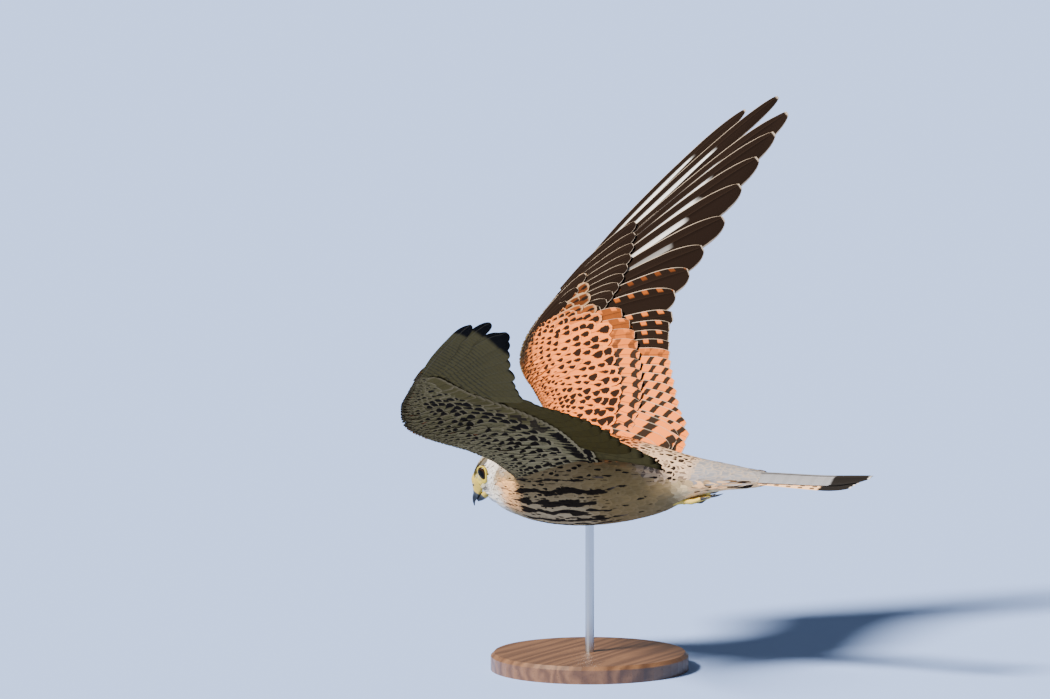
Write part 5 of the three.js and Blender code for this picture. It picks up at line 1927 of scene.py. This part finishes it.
@dataclass(frozen=True)
class TailFinish:
    """Tail feathers: grey, with a dark band before a pale tip, and rufous outer webs with dark squares."""

    name: str
    dark: Colour = (0.010, 0.008, 0.007)
    pale: Colour = (0.78, 0.74, 0.66)
    rufous: Colour = (0.92, 0.50, 0.22)

    def build(self) -> Material:
        """Makes the material."""
        g = Graph(self.name)
        tint, _, _, _, chance = g.rows("Tint")
        under, *_ = g.rows("Under")
        _, count, upper_bars, under_bars, outer = g.rows("Marks")
        side, way, beneath = g.vane()
        across = abs(side)
        rough = g.noise(g.vector(side * 1.6 + chance * 40, way * 12, chance * 17), 2) - 0.5
        wave = (way * count * (2 * math.pi * 20) + across * 0.6).cos() + rough * 0.6
        outer_web = side.smooth(0.15, 0.5) * outer.smooth(0.1, 0.6)
        upper = g.mix(outer_web * 0.9, tint, self.rufous)
        square = wave.smooth(0.25, 0.4) * (1 - across.smooth(0.86, 0.94)) * (outer_web > 0.1)
        upper = g.mix((wave.smooth(0.35, 0.6) * upper_bars).most(square) * 0.9, upper, self.dark)
        below = g.mix(wave.smooth(0.45, 0.7) * under_bars * 0.8, under, self.dark)
        base = g.mix(beneath, upper, below)
        place = way + rough * 0.02
        band = place.smooth(0.76, 0.78) * (1 - place.smooth(0.985, 0.992))
        base = g.mix(band, base, self.dark)
        base = g.mix(place.smooth(0.982, 0.992) * 0.6, base, self.pale)
        shaft = soft_edge(across, 0.06, 0.03)
        base = g.mix(shaft * 0.85, base, (0.03, 0.025, 0.022))
        base = g.mix(g.noise(g.place(), 60) * 0.3, base, (0.5, 0.5, 0.5), "SOFT_LIGHT")
        barb = (way * 800 - across * 150 + rough * 16).cos()
        return g.finish(base, 0.6, 0.05, barb * 0.5 + shaft, 0.4, 0.00012)


@dataclass(frozen=True)
class SkinFinish:
    """Downy skin between the feathers, in the feathers' own colours."""

    name: str

    def build(self) -> Material:
        """Makes the material."""
        g = Graph(self.name)
        tint, *_ = g.rows("Tint")
        down = g.noise(g.place(), 700, 5)
        base = g.mix(down * 0.6, g.mix(0.35, tint, (0.12, 0.11, 0.10)), tint)
        return g.finish(base, 0.9, 0.15, down, 0.7, 0.0006, Sheen_Weight=0.3)


@dataclass(frozen=True)
class HornFinish:
    """Smooth horn that goes from waxy yellow over blue-grey to near black at its tip."""

    name: str
    wax: Colour = (0.44, 0.31, 0.035)
    grey: Colour = (0.040, 0.045, 0.050)
    black: Colour = (0.004, 0.004, 0.004)
    wax_end: float = 0.40
    black_start: float = 0.62

    def build(self) -> Material:
        """Makes the material."""
        g = Graph(self.name)
        _, forward, height, _, _ = g.rows("Tint")
        fine = g.noise(g.place(), 900, 4) - 0.5
        place = forward + fine * 0.03
        horn = g.mix(place.smooth(self.wax_end, self.black_start), self.grey, self.black)
        waxy = 1 - (place - height * 0.05).smooth(self.wax_end - 0.015, self.wax_end + 0.015)
        wax = g.mix(g.noise(g.place(), 400) * 0.5, self.wax, (0.42, 0.29, 0.06))
        base = g.mix(waxy, horn, wax)
        streaks = g.noise(g.vector(forward * 2, height * 30, 0), 3)
        return g.finish(base, 0.28 + waxy * 0.2, 0.5, fine * waxy * 2 + streaks * 0.4, 0.3, 0.0003)


@dataclass(frozen=True)
class BareFinish:
    """Bare scaly skin, as on the feet and round the eyes."""

    name: str
    colour: Colour
    shade: Colour
    cells: float
    roughness: float = 0.42
    relief: float = 0.5

    def build(self) -> Material:
        """Makes the material."""
        g = Graph(self.name)
        cell = g.node("ShaderNodeTexVoronoi", {"feature": "DISTANCE_TO_EDGE"}, {
            "Vector": g.place(), "Scale": self.cells, "Randomness": 0.8,
        })
        gap = 1 - Wire(g, cell.outputs[0]).smooth(0, 0.12)
        blotch = g.noise(g.place(), 260)
        base = g.mix(gap * 0.5 + blotch * 0.35, self.colour, self.shade)
        return g.finish(base, self.roughness, 0.45, 1 - gap, self.relief, 0.0002, Subsurface_Weight=0.05)


@dataclass(frozen=True)
class EyeFinish:
    """A dark brown iris round a black pupil, under a clear wet coat."""

    name: str
    iris: Colour = (0.020, 0.010, 0.006)
    pupil: Colour = (0.003, 0.003, 0.003)

    def build(self) -> Material:
        """Makes the material."""
        g = Graph(self.name)
        _, fall, _, _, _ = g.rows("Tint")
        grain = g.noise(g.place(), 900, 4) - 0.5
        base = g.mix((fall + grain * 0.01).smooth(0.155, 0.175), self.pupil, self.iris)
        base = g.mix(fall.smooth(0.26, 0.33), base, (0.012, 0.007, 0.005))
        return g.finish(base, 0.10, 0.07)


@dataclass(frozen=True)
class ClawFinish:
    """Black, softly shining claw horn."""

    name: str

    def build(self) -> Material:
        """Makes the material."""
        g = Graph(self.name)
        fine = g.noise(g.place(), 1200, 4)
        base = g.mix(fine, (0.012, 0.011, 0.011), (0.045, 0.038, 0.033))
        return g.finish(base, 0.25, 0.5, fine, 0.2, 0.0002)


@dataclass(frozen=True)
class WoodFinish:
    """Turned and oiled walnut, its grain running across the base."""

    name: str
    light: Colour = (0.165, 0.078, 0.036)
    deep: Colour = (0.060, 0.026, 0.013)

    def build(self) -> Material:
        """Makes the material."""
        g = Graph(self.name)
        place = g.stretched((6, 60, 60), (0.07, 0.03, 0))
        warp = g.noise(place, 0.9, 2)
        wandering = g.node("ShaderNodeVectorMath", {"operation": "ADD"}, {
            0: place, 1: g.vector(0, warp * 1.6, warp * 1.2),
        })
        rings = g.node("ShaderNodeTexWave", {"wave_type": "BANDS", "bands_direction": "Y"}, {
            "Vector": wandering.outputs[0], "Scale": 0.55, "Distortion": 5, "Detail": 3,
            "Detail Scale": 1.2,
        })
        ring = Wire(g, rings.outputs["Fac"])
        pores = g.noise(g.stretched((40, 900, 900)), 1, 4)
        base = g.mix(ring * 0.75, self.light, self.deep)
        base = g.mix(pores.smooth(0.55, 0.75) * 0.6, base, (0.03, 0.014, 0.008))
        return g.finish(base, 0.36 + pores * 0.14, 0.45, pores * 0.7 + ring * 0.3, 0.12, 0.0003,
                        Coat_Weight=0.25, Coat_Roughness=0.3)


@dataclass(frozen=True)
class SteelFinish:
    """Brushed steel, with fine rings round the rod."""

    name: str

    def build(self) -> Material:
        """Makes the material."""
        g = Graph(self.name)
        lines = g.noise(g.stretched((60, 60, 6000)), 1, 2)
        base = g.mix(lines, (0.50, 0.50, 0.50), (0.62, 0.62, 0.61))
        return g.finish(base, 0.26 + lines * 0.14, 0.5, lines, 0.08, 0.0001, Metallic=1)


# Studio


@dataclass
class Studio:
    """The pale floor, the soft light and the camera at the photograph's angle."""

    elevation: float = 8.0
    azimuth: float = 117.4
    centre_right: float = -16.03
    centre_up: float = 88.4
    distance: float = 12.0035
    lens: float = 600.0
    floor_reach: float = 60.0
    floor_colour: Colour = (0.31, 0.435, 0.76)
    key_power: float = 12.8
    key_rise: float = 40.0
    key_turn: float = -48.0
    key_spread: float = 14.0

    def build(self) -> None:
        """Sets up the floor, the lights, the world and the camera."""
        self._floor()
        self._lights()
        self._camera()

    def _floor(self) -> None:
        """Lays a large plain floor under the base."""
        mesh = bpy.data.meshes.new("floor")
        corners = np.array([(-1, -1, 0), (1, -1, 0), (1, 1, 0), (-1, 1, 0)]) * self.floor_reach
        mesh.from_pydata(corners.tolist(), [], [(0, 1, 2, 3)])
        floor = bpy.data.objects.new("floor", mesh)
        bpy.context.scene.collection.objects.link(floor)
        g = Graph("floor")
        colour = g.mix(g.noise(g.place(), 3) * 0.04, self.floor_colour, (0.30, 0.425, 0.75))
        floor.data.materials.append(g.finish(colour, 0.9, 0.1))

    def _basis(self) -> tuple[Vector, Vector, Vector]:
        """Gives the ways towards the viewer, to the right of the picture and up it."""
        rise, turn = math.radians(self.elevation), math.radians(self.azimuth)
        toward = Vector((math.cos(rise) * math.sin(turn), -math.cos(rise) * math.cos(turn), math.sin(rise)))
        right = Vector((math.cos(turn), math.sin(turn), 0))
        return toward, right, toward.cross(right)

    def _lights(self) -> None:
        """Hangs one soft light high up on the left, in a pale room."""
        world = bpy.data.worlds.new("studio")
        world.use_nodes = True
        background = world.node_tree.nodes["Background"]
        background.inputs[0].default_value = (0.80, 0.88, 1, 1)
        background.inputs[1].default_value = 0.22
        bpy.context.scene.world = world
        toward, right, up = self._basis()
        sun = bpy.data.lights.new("key", "SUN")
        sun.energy, sun.angle = self.key_power, math.radians(self.key_spread)
        sun.color = (1, 0.95, 0.88)
        lamp = bpy.data.objects.new("key", sun)
        rise, turn = math.radians(self.key_rise), math.radians(self.key_turn)
        way = (toward * math.cos(turn) + right * math.sin(turn)) * math.cos(rise) + up * math.sin(rise)
        lamp.location = way.normalized() * 3
        lamp.rotation_euler = way.to_track_quat("Z", "Y").to_euler()
        bpy.context.scene.collection.objects.link(lamp)

    def _camera(self) -> None:
        """Sets the camera far off with a long lens, as the photograph was taken."""
        toward, right, up = self._basis()
        middle = Vector((POSE.place * METRES).tolist())
        middle += (right * self.centre_right + up * self.centre_up) * METRES
        data = bpy.data.cameras.new("camera")
        data.lens, data.sensor_width = self.lens, 36
        data.clip_start, data.clip_end = 1, 400
        camera = bpy.data.objects.new("camera", data)
        camera.location = middle + toward * self.distance
        camera.rotation_euler = toward.to_track_quat("Z", "Y").to_euler()
        bpy.context.scene.collection.objects.link(camera)
        bpy.context.scene.camera = camera


# Kestrel


class Slot(Enum):
    """The names of the finishes by part; only the stand's two name materials."""

    BODY = "body_plumage"
    HEAD = "head_plumage"
    WING = "wing_plumage"
    TAIL = "tail_plumage"
    BILL = "bill"
    EYE = "eye"
    FOOT = "foot_skin"
    CLAW = "claw"
    WOOD = "stand_wood"
    STEEL = "stand_steel"


@dataclass
class Kestrel:
    """The whole bird and its stand."""

    trunk: Trunk = field(default_factory=Trunk)

    def __post_init__(self) -> None:
        """Makes the parts that others need, and the finishes."""
        self.coat = BodyCoat(self.trunk)
        self.wings = [Wing(pose, 11 + number) for number, pose in enumerate(WING_POSES)]
        self.contour = ContourFinish("small_feathers").build()
        self.covert = ContourFinish("wing_coverts", bar_colour=(0.022, 0.013, 0.009)).build()
        self.flight = FlightFinish("flight_feathers").build()
        self.count = 0

    def _piece(self, made: Surface | bpy.types.Object, name: str, material: Material, slot: Slot,
               *nodes: str) -> bpy.types.Object:
        """Makes a piece, dresses it, and says what it rides on and which solids it takes the place of."""
        piece = made.to_object(name) if isinstance(made, Surface) else made
        piece.data.materials.clear()
        piece.data.materials.append(material)
        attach(piece, BODY_NAME)
        if nodes:
            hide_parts(*nodes)
        triangles = sum(len(polygon.vertices) - 2 for polygon in piece.data.polygons)
        self.count += triangles
        LOG.info("%s: %d triangles", name, triangles)
        return piece

    def build(self) -> None:
        """Builds every piece in order."""
        self._skin()
        self._body()
        for wing in self.wings:
            self._wing(wing)
        self._tail()
        self._head()
        self._feet()
        self._stand()
        LOG.info("all: %d triangles", self.count)

    def _skin(self) -> None:
        """Builds the skin in place of the flesh nodes."""
        wings = [f"wing_{side}_{part}" for side in ("left", "right") for part in ("arm", "hand")]
        skin = Skin(self.trunk).build(self.wings, self.coat)
        nodes = ("torso", "neck", "head", "tail", *wings)
        self._piece(skin, "skin", SkinFinish("skin").build(), Slot.BODY, *nodes)

    def _body(self) -> None:
        """Lays the feathers of the body and the head."""
        body, head = self.coat.to_plumes([self._at_bill, self._at_eye])
        body, head = body.to_surface(5, self.coat.body_grain), head.to_surface(3, self.coat.head_grain)
        self._piece(body, "body_feathers", self.contour, Slot.BODY, "torso", "neck")
        self._piece(head, "head_feathers", self.contour, Slot.HEAD, "head")

    def _at_bill(self, points: Array) -> Array:
        """Says which roots are on the bill or its cere."""
        local = self.trunk.to_head(points)
        return (-local[:, 1] > 18.6) & (local[:, 2] < 7)

    def _at_eye(self, points: Array) -> Array:
        """Says which roots are in an eye's ring."""
        local = self.trunk.to_head(points)
        taken = np.zeros(len(points), bool)
        for side in Side:
            eye = Eye(self.trunk, side)
            for ahead, room in ((0, 4.9), (2.2, 4.5), (3.6, 4.2)):
                aside = local + np.array([0, ahead, 0]) - eye.centre
                along_axis = aside @ eye.axis
                radial = np.linalg.norm(aside - along_axis[:, None] * eye.axis, axis=1)
                taken |= (radial < room) & (along_axis > 0)
        return taken

    def _wing(self, wing: Wing) -> None:
        """Dresses one wing, from its flight feathers to its small coverts."""
        nodes = (f"wing_{wing.name}_arm", f"wing_{wing.name}_hand")
        for made, name, material in (
            (wing.flight(), "flight_feathers", self.flight),
            (wing.large_coverts(), "large_coverts", self.flight),
            (wing.coverts(Face.UPPER).to_surface(), "upper_coverts", self.covert),
            (join_plumes([wing.under_coverts(), wing.coverts(Face.UNDER)]).to_surface(), "under_coverts",
             self.covert),
        ):
            self._piece(made, f"{wing.name}_{name}", material, Slot.WING, *nodes)

    def _tail(self) -> None:
        """Dresses the tail."""
        tail = Tail()
        vane = TailFinish("tail_feathers").build()
        self._piece(tail.feathers(), "tail_feathers", vane, Slot.TAIL, "tail")
        self._piece(tail.coverts().to_surface(), "tail_coverts", self.contour, Slot.TAIL, "tail")

    def _head(self) -> None:
        """Builds the bill and the eyes."""
        upper, lower, pits = Bill(self.trunk).build()
        horn = HornFinish("upper_bill").build()
        self._piece(upper, "upper_bill", horn, Slot.BILL, "bill_upper")
        self._piece(lower, "lower_bill", HornFinish("lower_bill", wax_end=0.45, black_start=0.7).build(),
                    Slot.BILL, "bill_lower")
        self._piece(pits, "nostrils", ClawFinish("nostrils").build(), Slot.BILL, "bill_upper")
        shine = EyeFinish("eyes").build()
        bare = BareFinish("eye_rings", (0.52, 0.37, 0.018), (0.34, 0.23, 0.02), 1500, 0.5, 0.2).build()
        for side in Side:
            eye = Eye(self.trunk, side)
            name = side.name.lower()
            self._piece(eye.ball(), f"{name}_eye", shine, Slot.EYE, f"eye_{name}")
            self._piece(eye.ring(), f"{name}_eye_ring", bare, Slot.BILL, "head")

    def _feet(self) -> None:
        """Builds the feet and claws."""
        scales = BareFinish("foot_skin", (0.70, 0.47, 0.06), (0.42, 0.26, 0.05), 1100).build()
        claw = ClawFinish("claws").build()
        for side in Side:
            foot, name = Foot(side), side.name.lower()
            self._piece(foot.skin(), f"{name}_foot", scales, Slot.FOOT, f"leg_{name}")
            claws = [f"claw_{name}_{number + 1}" for number in range(len(Foot.TOES))]
            self._piece(foot.claws(), f"{name}_claws", claw, Slot.CLAW, *claws)

    def _stand(self) -> None:
        """Gives the stand's own solids their wood and steel."""
        finishes = {"stand_base": WoodFinish(Slot.WOOD.value), "stand_rod": SteelFinish(Slot.STEEL.value)}
        for node, finish in finishes.items():
            materials = bpy.data.objects[node].data.materials
            materials.clear()
            materials.append(finish.build())


def main() -> None:
    """Builds the model and its studio."""
    logging.basicConfig(level=logging.INFO, format="%(name)s: %(message)s")
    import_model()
    Kestrel().build()
    Studio().build()


if __name__ == "__main__":
    main()
